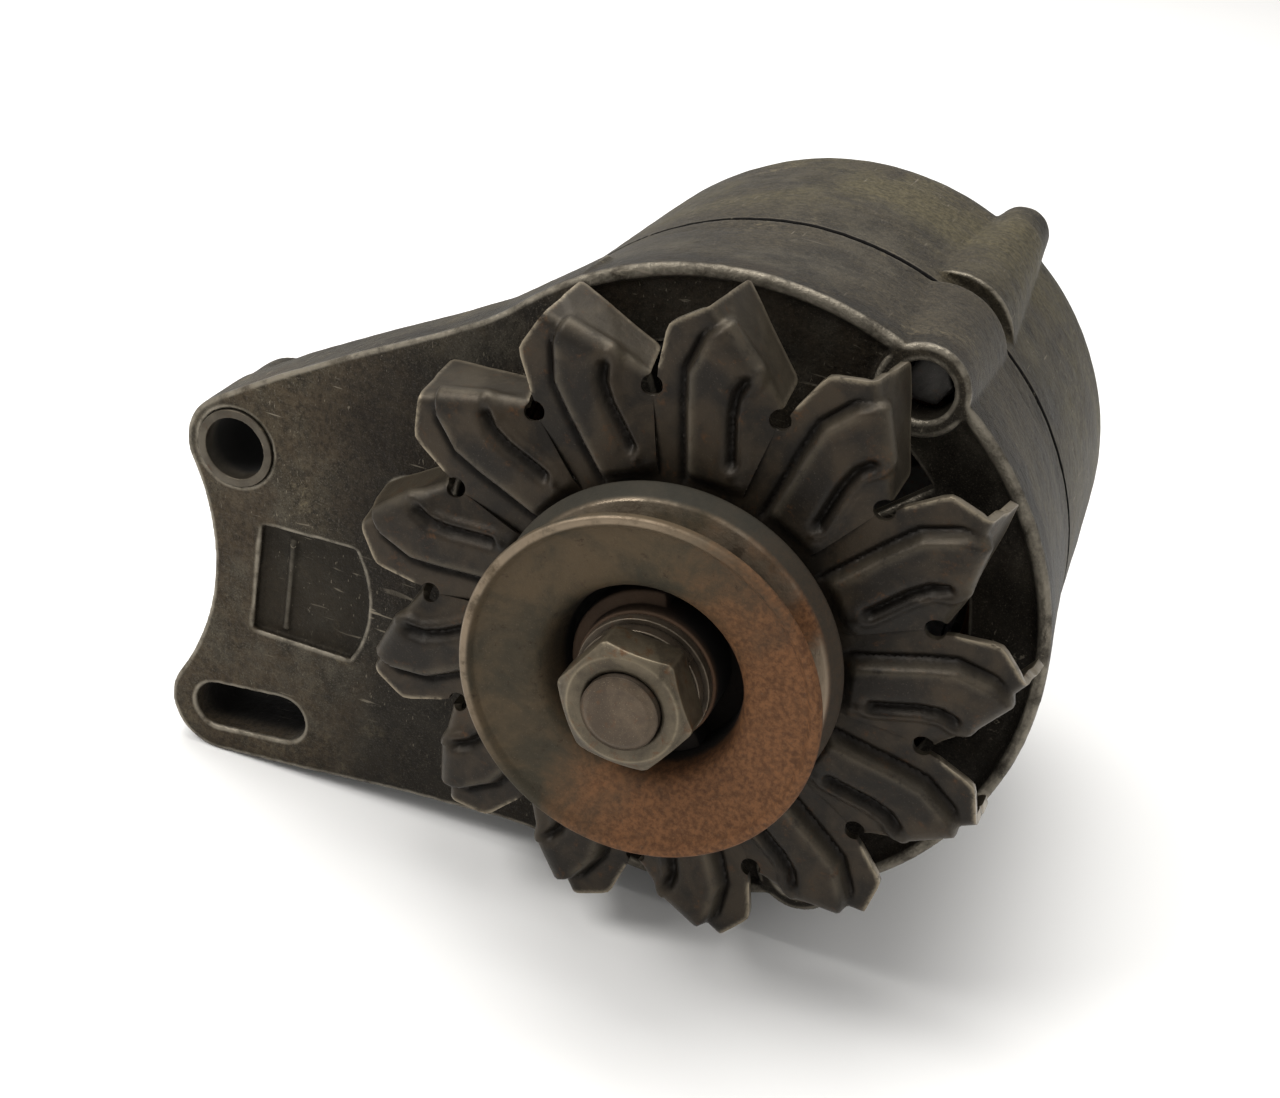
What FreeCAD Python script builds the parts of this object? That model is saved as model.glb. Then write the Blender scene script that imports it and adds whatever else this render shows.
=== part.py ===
import FreeCAD, Part
import math
import os
import Sketcher
from FreeCAD import Vector, Placement, Rotation

# Car alternator.  +Y runs along the shaft from the pulley to the rear, +Z is up
# and the mounting ear points to -X.  The origin is on the shaft axis, in the
# middle plane of the pulley's V groove, where the belt line is measured.

doc = FreeCAD.newDocument("alternator")
dims = doc.addObject("Spreadsheet::Sheet", "dims")
DIM = {}


def dim(alias, value, note=""):
    row = len(DIM) + 1
    dims.set("A%d" % row, alias)
    dims.set("B%d" % row, repr(float(value)))
    dims.set("C%d" % row, note)
    dims.setAlias("B%d" % row, alias)
    DIM[alias] = float(value)


# --- driving dimensions, millimetres ---------------------------------------
dim("pulley_rad", 33.0, "pulley rim radius")
dim("pulley_front", -6.8, "front rim plane")
dim("groove_front", -4.9, "front edge of the V groove")
dim("groove_back", 5.1, "rear edge of the V groove")
dim("groove_back_rad", 31.0, "radius of the groove's rear edge")
dim("groove_floor_rad", 22.2, "groove floor radius")
dim("flange_back", 9.0, "rear flange edge")
dim("recess_rad", 17.0, "hub recess radius")
dim("recess_floor", 8.2, "hub recess floor")
dim("hub_front", -0.6, "pulley hub front")
dim("hub_back", 14.7, "pulley hub rear, fan front face")
dim("hub_rad", 12.8, "pulley hub radius")
dim("seat_rad", 7.5, "shaft radius under the pulley")
dim("thread_rad", 7.0, "shaft thread radius, M14")
dim("nut_af", 22.0, "shaft nut across flats")
dim("nut_front", -13.1, "shaft nut front")
dim("nut_back", -5.1, "shaft nut rear")
dim("spring_washer_back", -2.6, "")
dim("shaft_front", -15.3, "front end of the shaft")
dim("fan_back", 16.2, "fan sheet rear face")
dim("fan_sheet", 1.5, "fan sheet thickness")
dim("fan_hole_pcr", 48.42, "relief hole circle radius")
dim("fan_hole_rad", 1.8, "relief hole radius")
dim("fan_count", 13, "fan blades")
dim("fan_phase", 131.8, "angle of the first relief hole")
dim("brg_front", 36.7, "front bearing, front face")
dim("brg_back", 48.7, "front bearing, rear face")
dim("brg_bore_rad", 8.5, "front bearing bore radius")
dim("brg_outer_rad", 20.0, "front bearing outer radius")
dim("brg_pitch_rad", 14.25, "front bearing ball circle radius")
dim("brg_ball_rad", 3.35, "front bearing ball radius")
dim("ear_front", 31.7, "front plane of the ear and the bracket rim")
dim("ear_thick", 15.0, "depth of the ear")
dim("ear_lobe_rad", 11.0, "radius of the ear's two lobes")
dim("pivot_x", -99.7, "pivot centre")
dim("pivot_z", 2.0, "pivot centre")
dim("pivot_bore_rad", 6.5, "pivot bush bore, M12 bolt")
dim("pivot_bush_rad", 8.25, "pivot bush outer radius")
dim("pivot_front", 31.2, "pivot bush front face")
dim("pivot_back", 58.2, "pivot bush rear face")
dim("slot_x", -92.8, "adjuster slot centre")
dim("slot_z", -58.7, "adjuster slot centre")
dim("slot_half_width", 5.25, "adjuster slot half width, M10 bolt")
dim("slot_half_run", 7.75, "slot centre to end centre")
dim("slot_tilt", 7.0, "slot tilt, degrees")
dim("body_front_rad", 65.2, "bracket radius at the front rim")
dim("body_split_rad", 62.2, "body radius at the split")
dim("step_y", 65.2, "machined band starts")
dim("split_front", 73.8, "bracket rear edge")
dim("split_back", 74.7, "rear housing front edge")
dim("wall_front", 36.2, "bracket front wall, outer face")
dim("wall_back", 40.2, "bracket front wall, inner face")
dim("stator_front", 64.2, "")
dim("stator_back", 92.2, "")
dim("stator_rad", 57.5, "stator core outer radius")
dim("stator_bore_rad", 44.5, "stator core bore radius")
dim("rotor_rad", 44.0, "pole claw outer radius")
dim("rotor_front", 55.2, "")
dim("rotor_back", 101.2, "")
dim("bolt_pcr", 60.8, "through bolt circle radius")
dim("bolt_rad", 2.5, "through bolt radius, M5")
dim("bolt_hole_rad", 2.75, "")
dim("counterbore_rad", 5.5, "")
dim("lug_back", 142.3, "rear end of the rear lugs")
dim("dome_start", 129.2, "rear housing shoulder starts")
dim("housing_back", 155.2, "rear face")
dim("rear_brg_front", 134.2, "")
dim("rear_brg_back", 145.2, "")
dim("rear_brg_outer_rad", 17.5, "")
dim("rear_brg_bore_rad", 7.5, "")
dim("rear_brg_pitch_rad", 12.5, "")
dim("rear_brg_ball_rad", 2.9, "")
dim("slip_rad", 15.5, "slip ring radius")
dim("slip_a_front", 111.2, "")
dim("slip_b_front", 120.2, "")
dim("slip_width", 6.0, "")
dim("brush_gap", 0.3, "brush face to slip ring")
dim("brush_width", 6.0, "brush across the shaft")
dim("brush_thick", 5.0, "brush along the shaft")
dim("brush_reach", 14.0, "brush height")
doc.recompute()

BOLT_ANGLES = (59.0, 179.0, 299.0)
PARTS = []           # (label, object) in the order they are made


class Q:
    """A size tied to the sheet: mul * alias + add."""

    def __init__(self, alias, add=0.0, mul=1.0):
        self.alias, self.add, self.mul = alias, add, mul
        self.v = DIM[alias] * mul + add

    def expr(self):
        return "dims.%s * %r + %r" % (self.alias, self.mul, self.add)


def val(q):
    return q.v if isinstance(q, Q) else float(q)


def bind(obj, prop, q):
    if isinstance(q, Q):
        obj.setExpression(prop, q.expr())
    else:
        setattr(obj, prop, q)


def new_body(label):
    b = doc.addObject("PartDesign::Body", label)
    b.Label = label
    PARTS.append((label, b))
    return b


def plane_of(body, role):
    for f in body.Origin.OriginFeatures:
        if f.Role == role:
            return f
    raise RuntimeError(role)


def new_sketch(body, name, role, at=None):
    """A sketch on an origin plane.  On XZ_Plane `at` is its Y position."""
    sk = body.newObject("Sketcher::SketchObject", name)
    sk.AttachmentSupport = (plane_of(body, role), [""])
    sk.MapMode = "FlatFace"
    if at is not None:
        sk.AttachmentOffset = Placement(Vector(0, 0, -val(at)), Rotation())
        if isinstance(at, Q):
            sk.setExpression("AttachmentOffset.Base.z", "-(%s)" % at.expr())
    return sk


def pin_point(sk, geo, end, x, y):
    """Hold one vertex at (x, y) from the sketch's origin."""
    for kind, axis, q in (("DistanceX", -2, x), ("DistanceY", -1, y)):
        v = val(q)
        if abs(v) < 1e-9:
            sk.addConstraint(Sketcher.Constraint("PointOnObject", geo, end, axis))
        elif v > 0:
            c = sk.addConstraint(Sketcher.Constraint(kind, -1, 1, geo, end, v))
            if isinstance(q, Q):
                sk.setExpression("Constraints[%d]" % c, q.expr())
        else:
            c = sk.addConstraint(Sketcher.Constraint(kind, geo, end, -1, 1, -v))
            if isinstance(q, Q):
                sk.setExpression("Constraints[%d]" % c, "-(%s)" % q.expr())


def circle_through(a, m, b):
    """Centre and radius of the circle through three points."""
    d = 2.0 * (a[0] * (m[1] - b[1]) + m[0] * (b[1] - a[1]) + b[0] * (a[1] - m[1]))
    qa, qm, qb = a[0] ** 2 + a[1] ** 2, m[0] ** 2 + m[1] ** 2, b[0] ** 2 + b[1] ** 2
    cx = (qa * (m[1] - b[1]) + qm * (b[1] - a[1]) + qb * (a[1] - m[1])) / d
    cy = (qa * (b[0] - m[0]) + qm * (a[0] - b[0]) + qb * (m[0] - a[0])) / d
    return cx, cy, math.hypot(a[0] - cx, a[1] - cy)


def outline(sk, pts):
    """A closed outline.  A point is (x, y), or (x, y, mx, my) when the edge that
    arrives at it is an arc through (mx, my)."""
    n = len(pts)
    first = sk.GeometryCount
    ends = []
    for i in range(n):
        a, b = pts[i], pts[(i + 1) % n]
        pa = (val(a[0]), val(a[1]))
        pb = (val(b[0]), val(b[1]))
        if len(b) == 4:
            cx, cy, r = circle_through(pa, (b[2], b[3]), pb)
            ccw = (b[2] - pa[0]) * (pb[1] - pa[1]) - (b[3] - pa[1]) * (pb[0] - pa[0]) > 0
            s0, s1 = (pa, pb) if ccw else (pb, pa)
            t0 = math.atan2(s0[1] - cy, s0[0] - cx)
            t1 = math.atan2(s1[1] - cy, s1[0] - cx)
            if t1 <= t0:
                t1 += 2.0 * math.pi
            sk.addGeometry(Part.ArcOfCircle(Part.Circle(Vector(cx, cy, 0), Vector(0, 0, 1), r), t0, t1), False)
            ends.append((1, 2) if ccw else (2, 1))
        else:
            sk.addGeometry(Part.LineSegment(Vector(pa[0], pa[1], 0), Vector(pb[0], pb[1], 0)), False)
            ends.append((1, 2))
    for i in range(n):
        j = (i + 1) % n
        sk.addConstraint(Sketcher.Constraint("Coincident", first + i, ends[i][1], first + j, ends[j][0]))
    for i in range(n):
        pin_point(sk, first + i, ends[i][0], pts[i][0], pts[i][1])
    for i in range(n):
        if len(pts[(i + 1) % n]) == 4:
            sk.addConstraint(Sketcher.Constraint("Radius", first + i, sk.Geometry[first + i].Radius))


def circle(sk, x, y, r):
    g = sk.addGeometry(Part.Circle(Vector(val(x), val(y), 0), Vector(0, 0, 1), val(r)), False)
    c = sk.addConstraint(Sketcher.Constraint("Radius", g, val(r)))
    if isinstance(r, Q):
        sk.setExpression("Constraints[%d]" % c, r.expr())
    if abs(val(x)) < 1e-9 and abs(val(y)) < 1e-9:
        sk.addConstraint(Sketcher.Constraint("Coincident", g, 3, -1, 1))
    else:
        pin_point(sk, g, 3, x, y)
    return g


def revolve(body, name, pts, cut=False):
    """Turn a (radius, y) outline about the shaft axis."""
    sk = new_sketch(body, name + "_profile", "XY_Plane")
    outline(sk, pts)
    f = body.newObject("PartDesign::Groove" if cut else "PartDesign::Revolution", name)
    f.Profile = sk
    f.ReferenceAxis = (sk, ["V_Axis"])
    f.Angle = 360.0
    return f


def pad(body, name, draw, y0, length, cut=False, taper=0.0):
    """Extrude what draw(sketch) draws in XZ from y0 towards +Y."""
    sk = new_sketch(body, name + "_sketch", "XZ_Plane", y0)
    draw(sk)
    f = body.newObject("PartDesign::Pocket" if cut else "PartDesign::Pad", name)
    f.Profile = sk
    f.Type = 0
    bind(f, "Length", length)
    f.Reversed = not cut
    if taper:
        f.TaperAngle = taper
    return f


def polar(body, name, feats, count):
    f = body.newObject("PartDesign::PolarPattern", name)
    f.Originals = feats
    f.Axis = (plane_axis(body, "Y_Axis"), [""])
    f.Angle = 360.0
    f.Occurrences = int(count)
    body.Tip = f
    return f


def plane_axis(body, role):
    for f in body.Origin.OriginFeatures:
        if f.Role == role:
            return f
    raise RuntimeError(role)


def poly(pts):
    def draw(sk):
        outline(sk, pts)
    return draw


def disc(x, z, r):
    def draw(sk):
        circle(sk, x, z, r)
    return draw


def at_angle(r, deg):
    return r * math.cos(math.radians(deg)), r * math.sin(math.radians(deg))


def sector(r0, r1, a0, a1):
    """Annular sector outline in XZ between radii and angles."""
    p = [at_angle(r0, a0), at_angle(r1, a0), at_angle(r1, a1), at_angle(r0, a1)]
    m1 = at_angle(r1, 0.5 * (a0 + a1))
    m0 = at_angle(r0, 0.5 * (a0 + a1))
    return [p[0] + m0, p[1], p[2] + m1, p[3]]


def facet_sector(r0, r1, a0, a1):
    """The same with its outer arc as two straight edges."""
    return [at_angle(r0, a0), at_angle(r1, a0), at_angle(r1 + 0.4, 0.5 * (a0 + a1)), at_angle(r1, a1), at_angle(r0, a1)]


def loft(body, name, c0, c1):
    """Additive loft between two circles, each (y, x, z, r)."""
    s = []
    for k, (y, x, z, r) in enumerate((c0, c1)):
        sk = new_sketch(body, "%s_s%d" % (name, k), "XZ_Plane", y)
        circle(sk, x, z, r)
        s.append(sk)
    f = body.newObject("PartDesign::AdditiveLoft", name)
    f.Profile = s[0]
    f.Sections = [s[1]]
    return f


def feature(label, shape):
    """A piece whose shape is computed from the sheet's sizes."""
    o = doc.addObject("Part::Feature", label)
    o.Label = label
    where = shape.Placement
    o.Shape = shape
    o.Placement = where
    PARTS.append((label, o))
    return o


def cyl(r, y0, y1, x=0.0, z=0.0):
    return Part.makeCylinder(r, y1 - y0, Vector(x, y0, z), Vector(0, 1, 0))


def tube(r0, r1, y0, y1, x=0.0, z=0.0):
    return cyl(r1, y0, y1, x, z).cut(cyl(r0, y0 - 1, y1 + 1, x, z))


def turned(pts):
    w = Part.makePolygon([Vector(r, y, 0) for r, y in pts] + [Vector(pts[0][0], pts[0][1], 0)])
    return Part.Face(w).revolve(Vector(0, 0, 0), Vector(0, 1, 0), 360)


def prism_xz(pts, y0, y1):
    w = Part.makePolygon([Vector(x, y0, z) for x, z in pts] + [Vector(pts[0][0], y0, pts[0][1])])
    return Part.Face(w).extrude(Vector(0, y1 - y0, 0))


def spin(shape, deg):
    """Turn a shape about +Y so that a point at angle a in XZ goes to a + deg."""
    s = shape.copy()
    s.rotate(Vector(0, 0, 0), Vector(0, 1, 0), -deg)
    return s


def hexagon(af, turn=0.0):
    r = af / math.sqrt(3.0)
    return [at_angle(r, turn + 60 * k) for k in range(6)]


def group(shapes):
    return Part.makeCompound(shapes)


def cylinder_part(label, r, y0, y1, x=0.0, z=0.0):
    """A plain cylinder along Y, sizes bound to the sheet."""
    o = doc.addObject("Part::Cylinder", label + "_blank")
    bind(o, "Radius", r)
    o.Height = val(y1) - val(y0)
    if isinstance(y0, Q) or isinstance(y1, Q):
        a = y0.expr() if isinstance(y0, Q) else repr(float(y0))
        b = y1.expr() if isinstance(y1, Q) else repr(float(y1))
        o.setExpression("Height", "(%s) - (%s)" % (b, a))
    o.Placement = Placement(Vector(val(x), val(y0), val(z)), Rotation(Vector(1, 0, 0), -90))
    return o


# ===========================================================================
# Drive-end bracket: one aluminium casting.  A tapered drum with a thin raised
# rim, a recessed front wall with cooling windows, a bearing hub, three bolt
# lugs and the flat mounting ear with its pivot boss and adjuster slot.
# ===========================================================================
EX, EZ = DIM["pivot_x"], DIM["pivot_z"]
SX, SZ = DIM["slot_x"], DIM["slot_z"]
tilt = math.radians(DIM["slot_tilt"])
S1 = (SX - DIM["slot_half_run"] * math.cos(tilt), SZ - DIM["slot_half_run"] * math.sin(tilt))
S2 = (SX + DIM["slot_half_run"] * math.cos(tilt), SZ + DIM["slot_half_run"] * math.sin(tilt))
LOBE = DIM["ear_lobe_rad"]

bracket = new_body("drive_end_bracket")
# the ear, flat in front, with a round lobe at the pivot and at the slot's far
# end and a hollow edge between them


def toward(c, p, r):
    d = math.hypot(p[0] - c[0], p[1] - c[1])
    return c[0] + (p[0] - c[0]) * r / d, c[1] + (p[1] - c[1]) * r / d


P0 = (EX, EZ)
HOLLOW = (-148.8, -27.9)
L1, L2 = toward(P0, HOLLOW, LOBE), toward(S1, HOLLOW, LOBE)
tp = (EX + LOBE * math.cos(math.radians(121.5)), EZ + LOBE * math.sin(math.radians(121.5)))
tm = (EX + LOBE * math.cos(math.radians(165)), EZ + LOBE * math.sin(math.radians(165)))
bp = (S1[0] + LOBE * math.cos(math.radians(-84)), S1[1] + LOBE * math.sin(math.radians(-84)))
bm = (S1[0] + LOBE * math.cos(math.radians(-160)), S1[1] + LOBE * math.sin(math.radians(-160)))
hm = (-102.9, 0.5 * (L1[1] + L2[1]))
ear_poly = [L1, tp + tm, (-91.5, 20.2), (-78.5, 27.6), (-58.7, 38.2), (-50.0, 43.2), (-33.0, 56.3), (-20.0, 40.0), (-20.0, -50.0),
            (-12.0, -64.2), (-33.7, -63.9), (-56.5, -65.7), (-80.0, -68.6), bp, L2 + bm]
ear_poly[0] = L1 + hm
pad(bracket, "ear_plate", poly(ear_poly), Q("ear_front"), Q("ear_thick"))
pad(bracket, "pivot_boss", disc(Q("pivot_x", 0.01), Q("pivot_z"), Q("ear_lobe_rad", -0.4)), Q("ear_front", 0.3), 25.7)
# lugs for the three through bolts, low and wide towards the split
for k, a in enumerate(BOLT_ANGLES):
    x0, z0 = at_angle(DIM["bolt_pcr"], a)
    x1, z1 = at_angle(51.6, a)
    loft(bracket, "lug_%d" % k, (Q("ear_front"), x0, z0, 8.6), (Q("split_front"), x1, z1, 14.0))
# clear the inside of the drum, then add the turned shell, wall and hub
revolve(bracket, "inside", [(0, Q("wall_back")), (60.6, Q("wall_back")), (59.6, 60.0), (Q("stator_rad", 0.05), 62.0),
                            (Q("stator_rad", 0.05), 80.0), (0, 80.0)], cut=True)
revolve(bracket, "front_recess", [(0, 20.0), (52.0, 20.0), (52.0, Q("wall_front")), (0, Q("wall_front"))], cut=True)
revolve(bracket, "shell", [
    (13.0, 34.2), (24.0, 34.2), (26.0, Q("wall_front")), (50.5, Q("wall_front")), (61.4, 33.5), (62.3, 32.9), (62.9, Q("ear_front")),
    (Q("body_front_rad", -0.5), Q("ear_front")), (Q("body_front_rad"), 32.4), (62.7, Q("step_y")),
    (Q("body_split_rad"), Q("step_y", 0.2)), (Q("body_split_rad"), Q("split_front")),
    (Q("stator_rad", 0.05), Q("split_front")), (Q("stator_rad", 0.05), Q("stator_front")), (56.0, Q("stator_front")),
    (56.0, 62.5), (59.6, 60.0), (60.6, 43.0), (58.6, Q("wall_back")), (27.0, Q("wall_back")), (27.0, Q("brg_back")),
    (Q("brg_outer_rad"), Q("brg_back")), (Q("brg_outer_rad"), Q("brg_front")), (13.0, Q("brg_front"))])
# the ear's front recess towards the drum follows the wall plane
# a boss behind the slot spreads the clamp load
pad(bracket, "slot_boss_left", disc(S1[0], S1[1], 8.4), Q("ear_front", 8.0), 12.0)
pad(bracket, "slot_boss_right", disc(S2[0], S2[1], 8.4), Q("ear_front", 8.0), 12.0)
pad(bracket, "slot_boss_middle", poly([
    (S1[0] + 8.0 * math.sin(tilt), S1[1] - 8.0 * math.cos(tilt)), (S2[0] + 8.0 * math.sin(tilt), S2[1] - 8.0 * math.cos(tilt)),
    (S2[0] - 8.0 * math.sin(tilt), S2[1] + 8.0 * math.cos(tilt)), (S1[0] - 8.0 * math.sin(tilt), S1[1] + 8.0 * math.cos(tilt))]),
    Q("ear_front", 8.0), 12.0)
pad(bracket, "slot", poly([
    (S1[0] + DIM["slot_half_width"] * math.sin(tilt), S1[1] - DIM["slot_half_width"] * math.cos(tilt)),
    (S2[0] + DIM["slot_half_width"] * math.sin(tilt), S2[1] - DIM["slot_half_width"] * math.cos(tilt)),
    (S2[0] - DIM["slot_half_width"] * math.sin(tilt), S2[1] + DIM["slot_half_width"] * math.cos(tilt)),
    (S1[0] - DIM["slot_half_width"] * math.sin(tilt), S1[1] + DIM["slot_half_width"] * math.cos(tilt))]),
    Q("ear_front", -1.0), 40.0, cut=True)
pad(bracket, "slot_right_end", disc(S2[0], S2[1], Q("slot_half_width")), Q("ear_front", -1.0), 40.0, cut=True)
pad(bracket, "slot_end", disc(S1[0], S1[1], Q("slot_half_width")), Q("ear_front", -1.0), 40.0, cut=True)
pad(bracket, "pivot_hole", disc(Q("pivot_x"), Q("pivot_z"), Q("pivot_bush_rad")), Q("ear_front", -1.0), 40.0, cut=True)
# shallow blank panel on the ear
pad(bracket, "blank_panel", poly([(-92.7, -13.3), (-93.3, -38.0), (-71.0, -38.0), (-71.8, -12.4, -67.8, -25.0)]),
    Q("ear_front", -1.0), 2.7, cut=True)
pad(bracket, "panel_rib", poly([(-86.6, -15.2), (-86.9, -36.4), (-85.7, -36.4), (-85.4, -15.2)]), Q("ear_front", 0.9), 2.0)
# the ear is cored out from behind, leaving a skin and edge walls
pad(bracket, "ear_core_out", poly([
    (-86.0, 14.5), (-65.0, 26.5), (-66.0, 17.5), (-72.8, 12.0), (-74.0, 1.0), (-72.8, -10.0), (-66.0, -17.5), (-62.9, -26.4), (-58.7, -34.8),
    (-59.5, -57.5), (-78.0, -47.5), (-91.0, -47.5), (-95.5, -20.0), (-92.0, -10.5)]),
    Q("ear_front", 8.5), 12.0, cut=True)
for k, a in enumerate(BOLT_ANGLES):
    x0, z0 = at_angle(DIM["bolt_pcr"], a)
    pad(bracket, "bolt_hole_%d" % k, disc(x0, z0, Q("bolt_hole_rad")), Q("ear_front", -1.0), 60.0, cut=True)
    pad(bracket, "counterbore_%d" % k, disc(x0, z0, Q("counterbore_rad")), Q("ear_front", -1.0), 11.0, cut=True)
win = pad(bracket, "window", poly(sector(31.0, 49.5, -3.0, 25.0)), 30.0, 15.0, cut=True)
polar(bracket, "windows", [win], 8)
for k in range(4):
    x0, z0 = at_angle(23.4, 20 + 90 * k)
    pad(bracket, "plate_screw_hole_%d" % k, disc(x0, z0, 1.6), 41.0, 9.0, cut=True)

bush = new_body("pivot_bush")
revolve(bush, "sleeve", [(Q("pivot_bore_rad"), Q("pivot_front")), (Q("pivot_bush_rad"), Q("pivot_front")),
                         (Q("pivot_bush_rad"), Q("pivot_back")), (Q("pivot_bore_rad"), Q("pivot_back"))])
bush.Placement = Placement(Vector(EX, 0, EZ), Rotation())

# ===========================================================================
# Rear housing: domed aluminium casting with three long lugs, a bearing hub
# and ventilation slots in the rear face.
# ===========================================================================
rear = new_body("rear_housing")
for k, a in enumerate(BOLT_ANGLES):
    x0, z0 = at_angle(53.2, a)
    x1, z1 = at_angle(59.2, a)
    loft(rear, "lug_%d" % k, (80.0, x0, z0, 13.0), (Q("lug_back"), x1, z1, 6.0))
DS = DIM["dome_start"]
HB = DIM["housing_back"]


def dome_point(r0, y0, rad, deg):
    return r0 - rad + rad * math.cos(math.radians(deg)), y0 + rad * math.sin(math.radians(deg))


d_out = dome_point(60.9, DS, 26.0, 45)
d_in = dome_point(57.2, DS, 22.0, 45)
revolve(rear, "inside", [(0, 79.0), (Q("stator_rad", 0.05), 79.0), (Q("stator_rad", 0.05), 97.0), (57.2, 97.5),
                         (57.2, Q("dome_start")), (35.2, DS + 22.0, d_in[0], d_in[1]), (0, DS + 22.0)], cut=True)
revolve(rear, "shell", [
    (Q("stator_rad", 0.05), Q("split_back")), (Q("body_split_rad"), Q("split_back")), (61.3, 118.0), (60.9, Q("dome_start")),
    (34.9, Q("housing_back"), d_out[0], d_out[1]), (0, Q("housing_back")), (0, Q("housing_back", -3.0)),
    (12.0, Q("housing_back", -3.0)), (12.0, Q("rear_brg_back")), (Q("rear_brg_outer_rad"), Q("rear_brg_back")),
    (Q("rear_brg_outer_rad"), Q("rear_brg_front")), (22.0, Q("rear_brg_front")), (23.0, Q("housing_back", -4.0)),
    (35.2, Q("housing_back", -4.0)), (57.2, Q("dome_start"), d_in[0], d_in[1]), (57.2, 97.0), (56.0, 96.0),
    (56.0, Q("stator_back")), (Q("stator_rad", 0.05), Q("stator_back"))])
# flat seats on the rear face and two inner bosses for the rectifier screws
RECT = [at_angle(44.5, 48.0), at_angle(44.5, 132.0)]
STUD = at_angle(40.0, 66.0)
pad(rear, "stud_seat", disc(STUD[0], STUD[1], 10.0), 149.0, Q("housing_back", -149.0))
pad(rear, "terminal_seat", poly([(-26.5, 27.5), (-5.5, 27.5), (-5.5, 46.5), (-26.5, 46.5)]), 146.0, Q("housing_back", -146.0))
pad(rear, "holder_seat", poly([(-20.5, -43.5), (20.5, -43.5), (20.5, -30.5), (-20.5, -30.5)]), 149.0, Q("housing_back", -149.0))
for k, (x0, z0) in enumerate(RECT):
    pad(rear, "rectifier_boss_%d" % k, disc(x0, z0, 4.4), 143.0, 7.8)
    pad(rear, "rectifier_screw_hole_%d" % k, disc(x0, z0, 1.5), 142.0, 7.0, cut=True)
for k, a in enumerate(BOLT_ANGLES):
    x0, z0 = at_angle(DIM["bolt_pcr"], a)
    pad(rear, "bolt_hole_%d" % k, disc(x0, z0, Q("bolt_rad")), 70.0, 65.0, cut=True)
# radial vent slots through the rear face; the brush holder takes the lower gap
for k, a in enumerate((0, 24, 156, 180, 204, 228, 312, 336)):
    pad(rear, "vent_%d" % k, poly(facet_sector(28.0, 45.0, a - 6.4, a + 6.6)), 140.0, 25.0, cut=True)
# window for the brush holder, below the hub
pad(rear, "brush_window", poly([(-11.2, -50.2), (11.2, -50.2), (11.2, -24.0), (-11.2, -24.0)]), 140.0, 25.0, cut=True)
# holes for the output stud and the spade terminals
pad(rear, "stud_hole", disc(STUD[0], STUD[1], 5.1), 140.0, 25.0, cut=True)
pad(rear, "spade_hole", poly([(-22.0, 32.0), (-10.0, 32.0), (-10.0, 42.0), (-22.0, 42.0)]), 140.0, 25.0, cut=True)
for k, (x0, z0) in enumerate(((-14.6, -37.0), (14.6, -37.0))):
    pad(rear, "holder_screw_hole_%d" % k, disc(x0, z0, 1.7), 148.0, 12.0, cut=True)

# ===========================================================================
# Shaft and what is clamped to it
# ===========================================================================
shaft = new_body("shaft")
revolve(shaft, "turned", [
    (0, Q("shaft_front")), (Q("thread_rad", -1.1), Q("shaft_front")), (Q("thread_rad", -0.05), Q("shaft_front", 1.1)),
    (Q("thread_rad", -0.05), Q("hub_front", 2.0)), (Q("seat_rad"), Q("hub_front", 2.0)), (Q("seat_rad"), Q("fan_back")),
    (Q("brg_bore_rad"), Q("fan_back")), (Q("brg_bore_rad"), Q("brg_back", 1.5)), (10.0, Q("brg_back", 1.5)),
    (10.0, Q("rotor_front")), (9.5, Q("rotor_front")), (9.5, Q("rotor_back")), (8.5, Q("rotor_back")),
    (8.5, 132.0), (Q("rear_brg_bore_rad"), 132.0), (Q("rear_brg_bore_rad"), 145.7), (6.7, 146.5), (0, 146.5)])
# keyway for the Woodruff key
KEY_Y = 7.0
pad(shaft, "keyway", poly([(-1.5, 4.6), (1.5, 4.6), (1.5, 9.0), (-1.5, 9.0)]), KEY_Y - 5.5, 11.0, cut=True)

key = feature("woodruff_key", Part.makeCylinder(6.0, 3.0, Vector(-1.5, KEY_Y, 9.4), Vector(1, 0, 0)).common(
    Part.makeBox(3.0, 11.0, 4.6, Vector(-1.5, KEY_Y - 5.5, 4.6))))

pulley = new_body("pulley")
PF = DIM["pulley_front"]
revolve(pulley, "turned", [
    (Q("seat_rad"), Q("hub_front")), (Q("hub_rad"), Q("hub_front")), (Q("hub_rad"), Q("recess_floor")),
    (Q("recess_rad"), Q("recess_floor")), (Q("recess_rad"), 3.2), (17.8, -0.4), (18.3, -2.0), (19.3, -3.3), (21.0, -4.0),
    (30.5, -5.6), (31.1, -6.4), (31.6, Q("pulley_front")), (32.6, Q("pulley_front")), (Q("pulley_rad"), -6.3), (Q("pulley_rad"), -5.4),
    (32.7, Q("groove_front")), (Q("groove_floor_rad"), -1.7), (Q("groove_floor_rad"), 2.4),
    (Q("groove_back_rad"), Q("groove_back")), (31.8, 6.1), (33.1, 8.6), (33.1, Q("flange_back")), (32.4, 9.6),
    (30.6, 9.4), (20.5, 10.2), (16.0, 12.6), (16.0, Q("hub_back")), (Q("seat_rad"), Q("hub_back"))])
pad(pulley, "hub_web", poly(sector(12.0, 15.2, 88.0, 204.0)), 2.6, 6.0)
pad(pulley, "hub_web_small", poly(sector(12.0, 17.2, -72.0, -46.0)), 3.2, 5.4)
pad(pulley, "keyway", poly([(-1.5, 6.0), (1.5, 6.0), (1.5, 9.3), (-1.5, 9.3)]), -2.0, 18.0, cut=True)

washer = new_body("plain_washer")
revolve(washer, "ring", [(Q("thread_rad", 0.2), Q("spring_washer_back")), (12.3, Q("spring_washer_back")), (12.3, Q("hub_front")), (Q("thread_rad", 0.2), Q("hub_front"))])

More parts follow.
